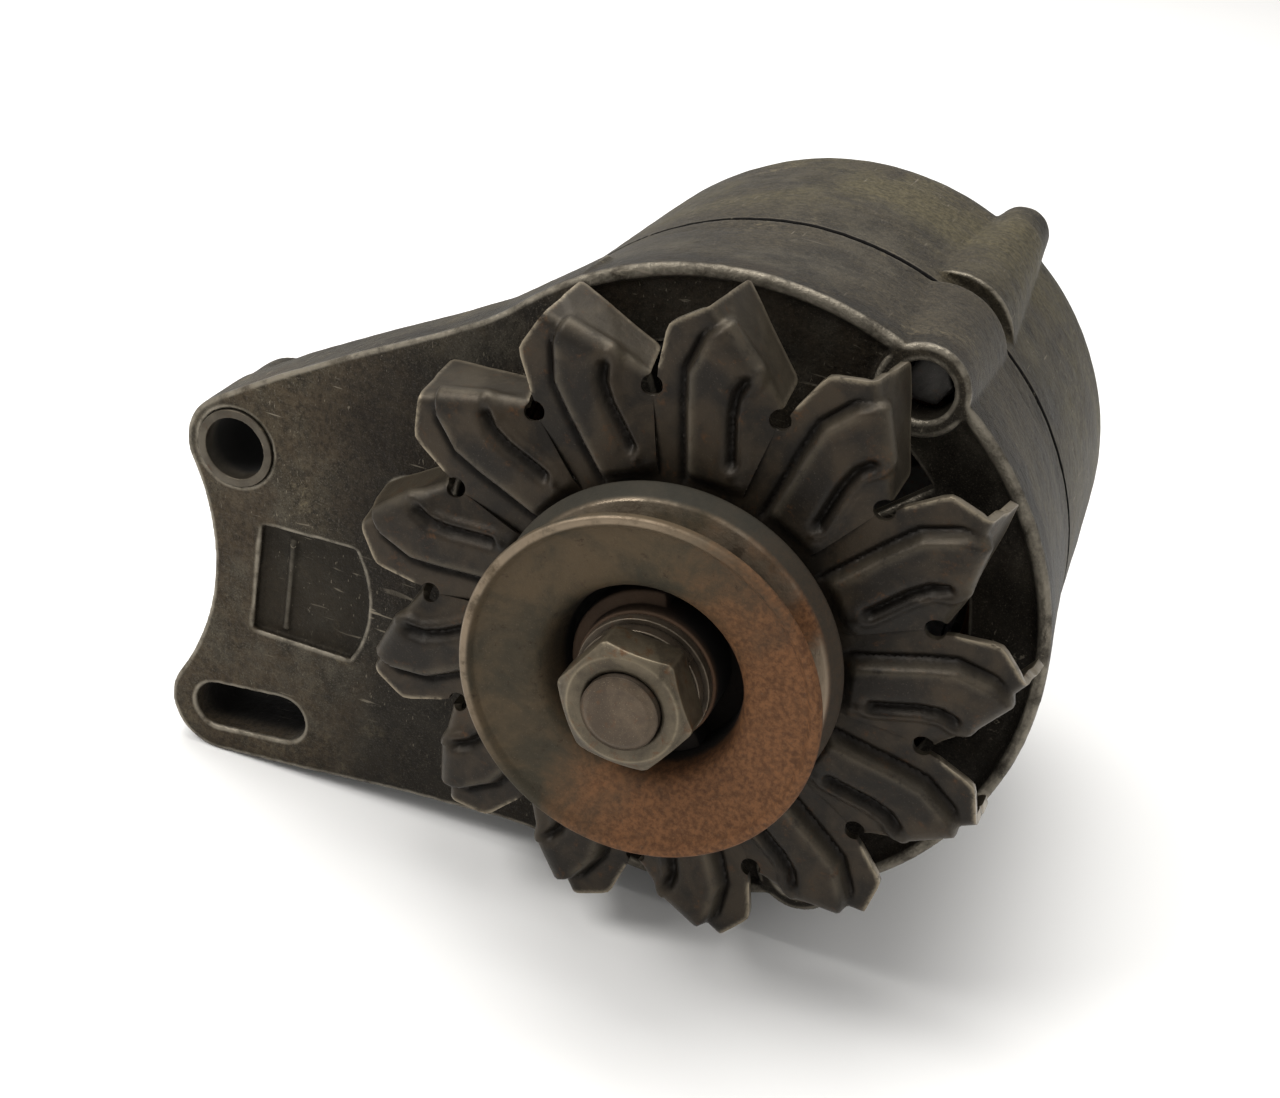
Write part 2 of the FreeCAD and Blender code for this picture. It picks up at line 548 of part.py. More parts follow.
spring = feature("spring_washer", tube(DIM["thread_rad"] + 0.15, 11.3, DIM["nut_back"], DIM["spring_washer_back"]).cut(
    spin(Part.makeBox(6.0, 4.0, 1.4, Vector(6.5, DIM["nut_back"] - 0.5, -0.7)), 200)))

nut = new_body("shaft_nut")
pad(nut, "hexagon", poly(hexagon(DIM["nut_af"], -4.0)), Q("nut_front"), Q("nut_back", -DIM["nut_front"]))
revolve(nut, "chamfer", [(10.1, Q("nut_front", -0.5)), (14.5, Q("nut_front", -0.5)), (14.5, Q("nut_front", 2.6)), (10.1, Q("nut_front"))], cut=True)
pad(nut, "bore", disc(0, 0, Q("thread_rad")), Q("nut_front", -1.0), 12.0, cut=True)

spacer = new_body("fan_spacer")
revolve(spacer, "sleeve", [(Q("brg_bore_rad"), Q("fan_back")), (12.0, Q("fan_back")), (12.0, Q("brg_front")), (Q("brg_bore_rad"), Q("brg_front"))])

# Fan: pressed sheet.  Thirteen petals, each with a bevelled tip and a blade
# folded back along the line from the tip to the next relief hole.
N = int(DIM["fan_count"])
STEP = 360.0 / N
FT = DIM["fan_sheet"]
FY0, FY1 = DIM["hub_back"], DIM["fan_back"]


def petal_point(da, r):
    return at_angle(r, -da)


PA = petal_point(10.4, 63.7)
PB = petal_point(27.0, 50.4)
ulen = math.hypot(PB[0] - PA[0], PB[1] - PA[1])
UX, UZ = (PB[0] - PA[0]) / ulen, (PB[1] - PA[1]) / ulen
NX, NZ = -UZ, UX
if NX * PA[0] + NZ * PA[1] < 0:
    NX, NZ = -NX, -NZ
FOLD = math.radians(80.7)


def blade_point(u, v, off):
    """u along the fold, v across the blade, off = through its thickness."""
    cx, sx = math.cos(FOLD), math.sin(FOLD)
    x = PA[0] + UX * u + NX * (v * cx - off * sx)
    z = PA[1] + UZ * u + NZ * (v * cx - off * sx)
    return Vector(x, FY0 + v * sx + off * cx, z)


def blade_solid():
    q = [(0.0, 0.0), (0.7, 14.0), (6.0, 13.4), (19.4, 9.8), (21.2, 5.5), (21.2, 0.0)]
    a = [blade_point(u, v, 0.0) for u, v in q]
    b = [blade_point(u, v, FT) for u, v in q]
    faces = [Part.Face(Part.makePolygon(a + [a[0]])), Part.Face(Part.makePolygon(b + [b[0]]))]
    for i in range(len(q)):
        j = (i + 1) % len(q)
        faces.append(Part.Face(Part.makePolygon([a[i], a[j], b[j], b[i], a[i]])))
    s = Part.makeSolid(Part.makeShell(faces))
    if s.Volume < 0:
        s.reverse()
    return s


petal = prism_xz([at_angle(20.0, 6.0), petal_point(0.6, 47.5), petal_point(1.0, 50.0), petal_point(2.5, 55.0),
                  petal_point(3.7, 59.5), PA, PB, petal_point(27.4, 48.8), at_angle(20.0, -34.0)], FY0, FY1)
one = petal.fuse(blade_solid())
hx, hz = at_angle(DIM["fan_hole_pcr"], 0.0)
fan_shape = cyl(40.0, FY0, FY1)
for k in range(N):
    fan_shape = fan_shape.fuse(spin(one, DIM["fan_phase"] - k * STEP))
for k in range(N):
    x0, z0 = at_angle(DIM["fan_hole_pcr"], DIM["fan_phase"] - k * STEP)
    fan_shape = fan_shape.cut(cyl(DIM["fan_hole_rad"], FY0 - 1, FY1 + 1, x0, z0))
fan_shape = fan_shape.cut(cyl(DIM["seat_rad"], FY0 - 1, FY1 + 1))
fan = feature("fan", fan_shape)


# ===========================================================================
# Ball bearings
# ===========================================================================
def bearing(prefix, bore, outer, pitch, ball, y0, y1, count):
    mid = 0.5 * (y0 + y1)
    inner_r, outer_r = pitch - 0.55 * ball, pitch + 0.55 * ball
    race = Part.makeTorus(pitch, ball + 0.06, Vector(0, mid, 0), Vector(0, 1, 0))
    inner = tube(bore, inner_r, y0, y1).cut(race)
    outer_ring = tube(outer_r, outer, y0, y1).cut(race)
    feature(prefix + "_bearing_outer_ring", outer_ring)
    feature(prefix + "_bearing_inner_ring", inner)
    balls = []
    cage = tube(pitch - 0.9, pitch + 0.9, mid - 0.62 * (y1 - y0) * 0.55, mid + 0.62 * (y1 - y0) * 0.55)
    for k in range(count):
        x, z = at_angle(pitch, 360.0 * (k + 0.5) / count)
        balls.append(Part.makeSphere(ball, Vector(x, mid, z)))
        pocket = Part.makeCylinder(ball + 0.3, 6.0, Vector(0, 0, 0), Vector(0, 0, 1))
        pocket.Placement = FreeCAD.Placement(Vector(x * (pitch - 3.0) / pitch, mid, z * (pitch - 3.0) / pitch),
                                             FreeCAD.Rotation(Vector(0, 0, 1), Vector(x, 0, z)))
        cage = cage.cut(pocket)
    feature(prefix + "_bearing_balls", group(balls))
    feature(prefix + "_bearing_cage", cage)


bearing("front", DIM["brg_bore_rad"], DIM["brg_outer_rad"], DIM["brg_pitch_rad"], DIM["brg_ball_rad"],
        DIM["brg_front"], DIM["brg_back"], 8)
bearing("rear", DIM["rear_brg_bore_rad"], DIM["rear_brg_outer_rad"], DIM["rear_brg_pitch_rad"], DIM["rear_brg_ball_rad"],
        DIM["rear_brg_front"], DIM["rear_brg_back"], 8)

plate = new_body("bearing_retainer_plate")
revolve(plate, "ring", [(14.0, Q("brg_back")), (27.0, Q("brg_back")), (27.0, Q("brg_back", 2.0)), (14.0, Q("brg_back", 2.0))])
for k in range(4):
    x0, z0 = at_angle(23.4, 20 + 90 * k)
    pad(plate, "hole_%d" % k, disc(x0, z0, 1.7), Q("brg_back", -1.0), 4.0, cut=True)
scr = []
for k in range(4):
    x0, z0 = at_angle(23.4, 20 + 90 * k)
    y = DIM["brg_back"] + 2.0
    scr.append(cyl(1.5, y - 9.0, y, x0, z0).fuse(cyl(3.0, y, y + 1.8, x0, z0)).cut(
        Part.makeBox(7.0, 1.0, 0.8, Vector(x0 - 3.5, y + 0.9, z0 - 0.4))))
feature("retainer_screws", group(scr))

# ===========================================================================
# Rotor: core, coil on its bobbin, two six-finger pole claws, slip rings
# ===========================================================================
core = new_body("rotor_core")
revolve(core, "sleeve", [(9.5, 66.2), (20.0, 66.2), (20.0, 90.2), (9.5, 90.2)])

bobbin = new_body("coil_bobbin")
revolve(bobbin, "spool", [(20.0, 66.4), (34.0, 66.4), (34.0, 67.6), (21.2, 67.6), (21.2, 88.8), (34.0, 88.8), (34.0, 90.0), (20.0, 90.0)])

coil = new_body("field_coil")
revolve(coil, "winding", [(21.2, 67.6), (33.0, 67.6), (33.6, 69.0), (33.6, 87.4), (33.0, 88.8), (21.2, 88.8)])


def claw(y_disc0, y_disc1, y_tip, turn):
    """Pole claw: a disc with six tapering fingers that reach to y_tip."""
    s = cyl(31.0, min(y_disc0, y_disc1), max(y_disc0, y_disc1))
    lo, hi = min(y_disc0, y_tip), max(y_disc0, y_tip)
    ring = tube(35.6, DIM["rotor_rad"], lo, hi)
    for k in range(6):
        w = Part.makePolygon([Vector(-9.0, y_disc0, 0), Vector(9.0, y_disc0, 0), Vector(8.4, y_disc1, 0), Vector(3.6, y_tip, 0),
                              Vector(-3.6, y_tip, 0), Vector(-8.4, y_disc1, 0), Vector(-9.0, y_disc0, 0)])
        wedge = Part.Face(w).extrude(Vector(0, 0, 60))
        root = Part.makeBox(18.0, abs(y_disc1 - y_disc0), 30.0, Vector(-9.0, min(y_disc0, y_disc1), 20.0)).common(
            cyl(DIM["rotor_rad"], lo, hi))
        finger = wedge.common(ring).fuse(root)
        s = s.fuse(spin(finger, turn + 60 * k))
    return s.cut(cyl(9.5, lo - 1, hi + 1)).removeSplitter()


feature("rotor_claw_front", claw(DIM["rotor_front"], 66.2, 97.0, 0.0))
feature("rotor_claw_rear", claw(DIM["rotor_back"], 90.2, 59.4, 30.0))

ins = new_body("slip_ring_insulator")
revolve(ins, "sleeve", [(8.5, 109.6), (14.8, 109.6), (14.8, 111.0), (13.6, 111.2), (13.6, 117.2), (14.8, 117.4), (14.8, 120.0),
                        (13.6, 120.2), (13.6, 126.2), (14.8, 126.4), (14.8, 127.8), (8.5, 127.8)])
for nm, al in (("slip_ring_front", "slip_a_front"), ("slip_ring_rear", "slip_b_front")):
    b = new_body(nm)
    revolve(b, "ring", [(13.6, Q(al)), (Q("slip_rad"), Q(al)), (Q("slip_rad"), Q(al, DIM["slip_width"])), (13.6, Q(al, DIM["slip_width"]))])

# ===========================================================================
# Stator: slotted laminated core and its winding
# ===========================================================================
stator = new_body("stator_core")
revolve(stator, "stack", [(Q("stator_bore_rad"), Q("stator_front")), (Q("stator_rad"), Q("stator_front")), (Q("stator_rad"), Q("stator_back")), (Q("stator_bore_rad"), Q("stator_back"))])
sl = pad(stator, "slot", poly([(43.0, -1.6), (53.0, -1.6), (53.0, 1.6), (43.0, 1.6)]), Q("stator_front", -1.0), 32.0, cut=True)
polar(stator, "slots", [sl], 36)

wind = []
for y0, y1 in ((53.4, DIM["stator_front"]), (DIM["stator_back"], 103.0)):
    ring = turned([(46.4, y0 + 2.0), (48.0, y0), (54.0, y0), (55.6, y0 + 2.0), (55.6, y1 - 2.0), (54.0, y1), (48.0, y1), (46.4, y1 - 2.0)])
    for k in range(18):
        ring = ring.cut(spin(Part.makeBox(2.4, 16.0, 2.0, Vector(54.0, y0 - 2, -1.0)), 20 * k))
    wind.append(ring)
feature("stator_windings", group(wind))
bars = [spin(Part.makeBox(6.7, 28.0, 2.6, Vector(46.3, DIM["stator_front"], -1.3)), 10 * k) for k in range(36)]
feature("stator_slot_bars", group(bars))

# ===========================================================================
# Fasteners that clamp the two castings
# ===========================================================================
bolts, lockw = [], []
for a in BOLT_ANGLES:
    x0, z0 = at_angle(DIM["bolt_pcr"], a)
    head = prism_xz([(x0 + px, z0 + pz) for px, pz in hexagon(8.0, a)], 36.9, 40.4)
    bolts.append(head.fuse(cyl(DIM["bolt_rad"], 40.4, 132.0, x0, z0)))
    lockw.append(tube(2.55, 4.6, 40.4, 41.7, x0, z0))
feature("through_bolts", group(bolts))
feature("through_bolt_washers", group(lockw))

# ===========================================================================
# Brush gear: moulded holder below the slip rings, two brushes and springs
# ===========================================================================
BW, BT, BR = DIM["brush_width"], DIM["brush_thick"], DIM["brush_reach"]
z_top = -(DIM["slip_rad"] + DIM["brush_gap"])
brush_y = [DIM["slip_a_front"] + 0.5 * DIM["slip_width"], DIM["slip_b_front"] + 0.5 * DIM["slip_width"]]
CL = 0.15
holder = Part.makeBox(14.0, 20.4, 28.4, Vector(-7.0, 109.0, -46.4))
for y in brush_y:
    holder = holder.cut(Part.makeBox(BW + 2 * CL, BT + 2 * CL, 27.0, Vector(-0.5 * BW - CL, y - 0.5 * BT - CL, -44.4)))
tail = Part.makeBox(14.0, 26.5, 8.0, Vector(-7.0, 128.9, -44.0))
flange = Part.makeBox(22.0, 3.0, 25.8, Vector(-11.0, 152.4, -50.0)).fuse(
    Part.makeBox(38.0, 3.0, 11.0, Vector(-19.0, 155.2, -42.5))).fuse(Part.makeBox(22.0, 3.0, 25.8, Vector(-11.0, 155.2, -50.0)))
holder = holder.fuse(tail).fuse(flange)
for x0 in (-14.6, 14.6):
    holder = holder.cut(cyl(1.7, 150.0, 160.0, x0, -37.0))
feature("brush_holder", holder.removeSplitter())
feature("brush_holder_screws", group([
    cyl(1.5, 151.0, 158.2, x0, -37.0).fuse(cyl(3.0, 158.2, 160.0, x0, -37.0)).cut(
        Part.makeBox(7.0, 1.0, 0.8, Vector(x0 - 3.5, 159.2, -37.4))) for x0 in (-14.6, 14.6)]))
for nm, y in (("front", brush_y[0]), ("rear", brush_y[1])):
    blank = Part.makeBox(BW, BT, BR + 2.0, Vector(-0.5 * BW, y - 0.5 * BT, z_top - BR))
    feature("brush_" + nm, blank.cut(cyl(DIM["slip_rad"] + DIM["brush_gap"], y - 10, y + 10)))
    # compression spring between the brush and the holder's end wall
    z0, z1 = -44.4 + 0.3, z_top - BR
    wire, rad, turns = 0.35, 1.75, 7.0
    helix = Part.makeHelix((z1 - z0 - 2 * wire) / turns, z1 - z0 - 2 * wire, rad)
    sect = Part.Wire([Part.makeCircle(wire, Vector(rad, 0, 0), Vector(0, 1, 0))])
    coil_s = Part.Wire(helix.Edges).makePipeShell([sect], True, True)
    coil_s.translate(Vector(0, y, z0 + wire))
    feature("brush_spring_" + nm, coil_s)

# ===========================================================================
# Rectifier: two insulated heat sinks with three diodes each, output stud and
# spade terminals
# ===========================================================================


def sector_plate(r0, r1, a0, a1, y0, y1):
    return prism_xz([at_angle(r0, a) for a in range(a0, a1 + 1, 10)] + [at_angle(r1, a) for a in range(a1, a0 - 1, -10)], y0, y1)


pos = sector_plate(24.0, 50.0, 20, 160, 121.0, 124.0)
neg = sector_plate(24.0, 52.0, 20, 160, 109.0, 112.0)
POS_D = [at_angle(37.0, 30), at_angle(33.0, 90), at_angle(37.0, 150)]
NEG_D = [at_angle(34.0, 50), at_angle(34.0, 110), at_angle(34.0, 135)]
sx, sz = STUD
for x0, z0 in POS_D:
    pos = pos.cut(cyl(6.4, 110, 130, x0, z0))
for x0, z0 in NEG_D:
    neg = neg.cut(cyl(6.4, 100, 120, x0, z0))
for x0, z0 in RECT:
    pos = pos.cut(cyl(1.7, 110, 130, x0, z0))
    neg = neg.cut(cyl(1.7, 100, 120, x0, z0))
pos = pos.cut(cyl(3.0, 110, 130, sx, sz))
feature("heat_sink_positive", pos)
feature("heat_sink_negative", neg)


def diode(x0, z0, y):
    """Press-fit button diode in its plate, its lead pointing to the rear."""
    return cyl(6.4, y - 1.5, y + 4.5, x0, z0).fuse(cyl(0.8, y + 4.5, y + 7.0, x0, z0))


feature("diodes_positive", group([diode(x0, z0, 122.5) for x0, z0 in POS_D]))
feature("diodes_negative", group([diode(x0, z0, 110.5) for x0, z0 in NEG_D]))
feature("rectifier_sleeves", group([tube(1.7, 3.5, y0, y1, x0, z0) for x0, z0 in RECT for y0, y1 in ((112.0, 121.0), (124.0, 143.0))]))
feature("rectifier_screws", group([cyl(3.0, 107.2, 109.0, x0, z0).fuse(cyl(1.5, 109.0, 148.0, x0, z0)).cut(
    Part.makeBox(7.0, 0.8, 0.8, Vector(x0 - 3.5, 107.1, z0 - 0.4))) for x0, z0 in RECT]))
feature("output_stud", cyl(3.0, 121.0, 172.0, sx, sz).fuse(cyl(5.0, 118.5, 121.0, sx, sz)).cut(tube(2.4, 4.0, 161.9, 162.7, sx, sz)))
feature("output_stud_sleeve", tube(3.0, 6.5, 124.0, 147.5, sx, sz))
feature("output_stud_insulator", tube(3.0, 5.1, 147.5, 155.2, sx, sz).fuse(tube(3.0, 8.5, 155.2, 157.7, sx, sz)))
feature("output_stud_nut", prism_xz([(sx + px, sz + pz) for px, pz in hexagon(10.0, 10.0)], 157.7, 162.7).cut(
    cyl(3.0, 150, 180, sx, sz)))
block = Part.makeBox(11.8, 9.0, 9.8, Vector(-21.9, 148.0, 32.1)).fuse(Part.makeBox(18.0, 3.0, 16.0, Vector(-25.0, 155.2, 29.0)))
for x0 in (-19.4, -13.4):
    block = block.cut(Part.makeBox(0.8, 20.0, 6.3, Vector(x0, 145.0, 33.85)))
feature("terminal_block", block)
feature("spade_terminals", group([Part.makeBox(0.8, 20.0, 6.3, Vector(x0, 146.0, 33.85)) for x0 in (-19.4, -13.4)]))

# ---------------------------------------------------------------------------
doc.recompute()
bad = []
for o in doc.Objects:
    if "Invalid" in o.State or "Error" in o.State:
        bad.append("%s %s" % (o.Name, o.State))
for label, o in PARTS:
    if o.Shape.isNull() or not o.Shape.isValid():
        bad.append("%s has no valid shape" % label)
if bad:
    raise SystemExit("model failed: " + "; ".join(bad))
os.makedirs("parts", exist_ok=True)
for label, o in PARTS:
    o.Shape.exportStep("parts/%s.step" % label)
    bb = o.Shape.BoundBox
    print("%-26s solids %2d  vol %10.1f  y %7.2f..%7.2f  x %7.2f..%7.2f  z %7.2f..%7.2f" % (
        label, len(o.Shape.Solids), o.Shape.Volume, bb.YMin, bb.YMax, bb.XMin, bb.XMax, bb.ZMin, bb.ZMax))
print(len(PARTS), "parts")
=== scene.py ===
import math

import bmesh
import bpy
import numpy as np
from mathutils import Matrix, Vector, geometry, noise


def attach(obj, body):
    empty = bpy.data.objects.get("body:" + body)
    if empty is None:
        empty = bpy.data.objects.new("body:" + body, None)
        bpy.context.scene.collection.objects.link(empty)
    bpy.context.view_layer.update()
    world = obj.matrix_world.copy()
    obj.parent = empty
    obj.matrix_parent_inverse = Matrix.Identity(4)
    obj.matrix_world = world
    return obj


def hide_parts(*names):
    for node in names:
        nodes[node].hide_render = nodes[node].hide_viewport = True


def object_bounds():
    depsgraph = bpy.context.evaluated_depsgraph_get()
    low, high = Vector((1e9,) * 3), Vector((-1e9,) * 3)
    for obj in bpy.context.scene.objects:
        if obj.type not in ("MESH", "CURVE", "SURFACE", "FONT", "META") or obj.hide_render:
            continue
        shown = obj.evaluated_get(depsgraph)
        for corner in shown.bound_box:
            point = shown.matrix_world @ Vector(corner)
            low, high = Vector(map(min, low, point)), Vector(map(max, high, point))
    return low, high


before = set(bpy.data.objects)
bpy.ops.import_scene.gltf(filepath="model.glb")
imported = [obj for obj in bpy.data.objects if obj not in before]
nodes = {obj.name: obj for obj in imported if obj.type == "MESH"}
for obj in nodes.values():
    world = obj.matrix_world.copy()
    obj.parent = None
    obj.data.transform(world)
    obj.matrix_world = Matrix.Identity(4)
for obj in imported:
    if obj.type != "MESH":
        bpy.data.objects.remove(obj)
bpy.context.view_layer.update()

MM = 0.001


# ---------------------------------------------------------------------------
# small mesh helpers; lengths in millimetres, meshes in metres
# ---------------------------------------------------------------------------
def mesh_object(name, verts, faces, smooth=True):
    me = bpy.data.meshes.new(name)
    me.from_pydata([(v[0] * MM, v[1] * MM, v[2] * MM) for v in verts], [], faces)
    me.validate()
    me.update()
    ob = bpy.data.objects.new(name, me)
    bpy.context.scene.collection.objects.link(ob)
    if smooth:
        me.polygons.foreach_set("use_smooth", [True] * len(me.polygons))
    return ob


def bake(ob):
    """Apply every modifier on the object."""
    dg = bpy.context.evaluated_depsgraph_get()
    dg.update()
    ev = ob.evaluated_get(dg)
    me = bpy.data.meshes.new_from_object(ev)
    ob.modifiers.clear()
    old = ob.data
    ob.data = me
    me.name = ob.name
    bpy.data.meshes.remove(old)
    return ob


def lathe(name, profile, segs=256, closed=True, material=None):
    """Turn (r, y) points about the shaft axis."""
    n = len(profile)
    verts, faces = [], []
    for k in range(segs):
        a = 2 * math.pi * k / segs
        c, s = math.cos(a), math.sin(a)
        for r, y in profile:
            verts.append((r * c, y, r * s))
    m = n if closed else n - 1
    for k in range(segs):
        k2 = (k + 1) % segs
        for i in range(m):
            j = (i + 1) % n
            faces.append((k * n + i, k2 * n + i, k2 * n + j, k * n + j))
    ob = mesh_object(name, verts, faces)
    fix_normals(ob)
    return ob


def fix_normals(ob):
    bm = bmesh.new()
    bm.from_mesh(ob.data)
    bmesh.ops.remove_doubles(bm, verts=bm.verts, dist=1e-7)
    bmesh.ops.recalc_face_normals(bm, faces=bm.faces)
    bm.to_mesh(ob.data)
    bm.free()


def soften(points, radius=0.4, steps=4):
    """Round every corner of a closed (r, y) profile."""
    out = []
    n = len(points)
    for i in range(n):
        p0, p1, p2 = (np.array(points[(i + d) % n][:2], float) for d in (-1, 0, 1))
        rr = points[i][2] if len(points[i]) > 2 else radius
        a, b = p0 - p1, p2 - p1
        la, lb = np.linalg.norm(a), np.linalg.norm(b)
        t = min(rr, 0.45 * la, 0.45 * lb)
        pa, pb = p1 + a / la * t, p1 + b / lb * t
        for s in range(steps + 1):
            u = s / steps
            q = (1 - u) ** 2 * pa + 2 * u * (1 - u) * p1 + u ** 2 * pb
            out.append((q[0], q[1]))
    return out


def subdivide(points, step):
    out = []
    n = len(points)
    for i in range(n):
        a, b = np.array(points[i]), np.array(points[(i + 1) % n])
        k = max(1, int(np.linalg.norm(b - a) / step))
        for s in range(k):
            q = a + (b - a) * s / k
            out.append((q[0], q[1]))
    return out


def convexity(ob, spacing):
    """Store how sharply each point stands out (one over radius, per mm)."""
    me = ob.data
    count = len(me.vertices)
    co = np.zeros(count * 3, np.float32)
    no = np.zeros(count * 3, np.float32)
    ed = np.zeros(len(me.edges) * 2, np.int32)
    me.vertices.foreach_get("co", co)
    me.vertices.foreach_get("normal", no)
    me.edges.foreach_get("vertices", ed)
    co = co.reshape(-1, 3).astype(float) / MM
    no = no.reshape(-1, 3)
    e0, e1 = ed[0::2], ed[1::2]
    deg = np.maximum(np.bincount(e0, minlength=count) + np.bincount(e1, minlength=count), 1)

    def around(f):
        return (np.bincount(e0, f[e1], count) + np.bincount(e1, f[e0], count)) / deg

    off = np.stack([around(co[:, i]) for i in range(3)], 1) - co
    cur = -(off * no).sum(1) / (spacing * spacing / 4.0)
    for _ in range(5):
        cur = 0.4 * cur + 0.6 * around(cur)
    at = me.attributes.new("wear", "FLOAT", "POINT")
    at.data.foreach_set("value", cur.astype(np.float32))


def cast_copy(node, name, voxel, smooth_steps=3, lumps=()):
    """A copy of a CAD node with the soft edges of a casting."""
    src = nodes[node]
    me = src.data.copy()
    me.name = name
    ob = bpy.data.objects.new(name, me)
    bpy.context.scene.collection.objects.link(ob)
    bm = bmesh.new()
    bm.from_mesh(me)
    bmesh.ops.remove_doubles(bm, verts=bm.verts, dist=2e-6)
    bmesh.ops.recalc_face_normals(bm, faces=bm.faces)
    bm.to_mesh(me)
    bm.free()
    m = ob.modifiers.new("remesh", "REMESH")
    m.mode = "VOXEL"
    m.voxel_size = voxel * MM
    m.use_smooth_shade = True
    if smooth_steps:
        m = ob.modifiers.new("smooth", "SMOOTH")
        m.factor = 0.5
        m.iterations = smooth_steps
    bake(ob)
    convexity(ob, voxel)
    if lumps:
        me = ob.data
        co = np.zeros(len(me.vertices) * 3, np.float32)
        no = np.zeros(len(me.vertices) * 3, np.float32)
        me.vertices.foreach_get("co", co)
        me.vertices.foreach_get("normal", no)
        co = co.reshape(-1, 3).astype(float)
        no = no.reshape(-1, 3)
        d = np.zeros(len(co))
        for scale, amp in lumps:
            d += amp * MM * np.array([noise.noise(Vector(p) * scale) for p in co])
        co += no * d[:, None]
        me.vertices.foreach_set("co", co.astype(np.float32).ravel())
        me.update()
    for p in ob.data.polygons:
        p.use_smooth = True
    ob.data.materials.clear()
    return ob


# ---------------------------------------------------------------------------
# materials
# ---------------------------------------------------------------------------
class Mat:
    def __init__(self, name):
        self.m = bpy.data.materials.new(name)
        self.m.use_nodes = True
        self.t = self.m.node_tree
        self.t.nodes.clear()
        self.out = self.t.nodes.new("ShaderNodeOutputMaterial")
        self.b = self.t.nodes.new("ShaderNodeBsdfPrincipled")
        self.t.links.new(self.b.outputs[0], self.out.inputs[0])
        self.tc = self.t.nodes.new("ShaderNodeTexCoord")
        self.co = self.tc.outputs["Object"]

    def link(self, a, b):
        if hasattr(a, "is_linked") or hasattr(a, "node"):
            self.t.links.new(a, b)
        else:
            b.default_value = a

    def noise(self, scale, detail=6.0, rough=0.55, dist=0.0, vec=None):
        n = self.t.nodes.new("ShaderNodeTexNoise")
        n.inputs["Scale"].default_value = scale
        n.inputs["Detail"].default_value = detail
        n.inputs["Roughness"].default_value = rough
        n.inputs["Distortion"].default_value = dist
        self.t.links.new(vec if vec is not None else self.co, n.inputs["Vector"])
        return n.outputs["Fac"]

    def voronoi(self, scale, feature="F1", vec=None, rand=1.0):
        n = self.t.nodes.new("ShaderNodeTexVoronoi")
        n.feature = feature
        n.inputs["Scale"].default_value = scale
        n.inputs["Randomness"].default_value = rand
        self.t.links.new(vec if vec is not None else self.co, n.inputs["Vector"])
        return n.outputs["Distance"]

    def math(self, op, a, b=0.0, c=None, clamp=False):
        n = self.t.nodes.new("ShaderNodeMath")
        n.operation = op
        n.use_clamp = clamp
        self.link(a, n.inputs[0])
        self.link(b, n.inputs[1])
        if c is not None:
            self.link(c, n.inputs[2])
        return n.outputs[0]

    def ramp(self, fac, lo, hi):
        """0 below lo, 1 above hi, smooth between (lo may exceed hi)."""
        n = self.t.nodes.new("ShaderNodeMapRange")
        n.interpolation_type = "SMOOTHSTEP"
        n.clamp = True
        flip = lo > hi
        n.inputs["From Min"].default_value = min(lo, hi)
        n.inputs["From Max"].default_value = max(lo, hi)
        n.inputs["To Min"].default_value = 1.0 if flip else 0.0
        n.inputs["To Max"].default_value = 0.0 if flip else 1.0
        self.link(fac, n.inputs["Value"])
        return n.outputs["Result"]

    def mix(self, fac, a, b):
        n = self.t.nodes.new("ShaderNodeMix")
        n.data_type = "RGBA"
        self.link(fac, n.inputs[0])
        for v, s in ((a, n.inputs[6]), (b, n.inputs[7])):
            if isinstance(v, tuple):
                s.default_value = (v[0], v[1], v[2], 1.0)
            else:
                self.t.links.new(v, s)
        return n.outputs[2]

    def mixf(self, fac, a, b):
        n = self.t.nodes.new("ShaderNodeMix")
        n.data_type = "FLOAT"
        self.link(fac, n.inputs[0])
        self.link(a, n.inputs[2])
        self.link(b, n.inputs[3])
        return n.outputs[0]

    def scaled(self, sx, sy, sz, rot=(0, 0, 0)):
        n = self.t.nodes.new("ShaderNodeMapping")
        n.inputs["Scale"].default_value = (sx, sy, sz)
        n.inputs["Rotation"].default_value = rot
        self.t.links.new(self.co, n.inputs["Vector"])
        return n.outputs[0]

    def xyz(self, vec=None):
        n = self.t.nodes.new("ShaderNodeSeparateXYZ")
        self.t.links.new(vec if vec is not None else self.co, n.inputs[0])
        return n.outputs[0], n.outputs[1], n.outputs[2]

    def combine(self, x, y, z):
        n = self.t.nodes.new("ShaderNodeCombineXYZ")
        for v, s in zip((x, y, z), n.inputs):
            self.link(v, s)
        return n.outputs[0]

    def radius(self):
        x, y, z = self.xyz()
        return self.math("SQRT", self.math("ADD", self.math("MULTIPLY", x, x), self.math("MULTIPLY", z, z)))

    def edges(self, lo, hi):
        n = self.t.nodes.new("ShaderNodeNewGeometry")
        return self.ramp(n.outputs["Pointiness"], lo, hi)

    def hollows(self, dist, lo=0.35, hi=0.95):
        n = self.t.nodes.new("ShaderNodeAmbientOcclusion")
        n.samples = 6
        n.inputs["Distance"].default_value = dist
        return self.ramp(n.outputs["AO"], hi, lo)

    def bump(self, layers):
        """layers: (height socket, distance in mm, strength)"""
        last = None
        for h, mm, st in layers:
            n = self.t.nodes.new("ShaderNodeBump")
            n.inputs["Distance"].default_value = mm * MM
            n.inputs["Strength"].default_value = st
            self.link(h, n.inputs["Height"])
            if last is not None:
                self.t.links.new(last, n.inputs["Normal"])
            last = n.outputs[0]
        self.t.links.new(last, self.b.inputs["Normal"])

    def attribute(self, name):
        n = self.t.nodes.new("ShaderNodeAttribute")
        n.attribute_name = name
        return n.outputs["Fac"]

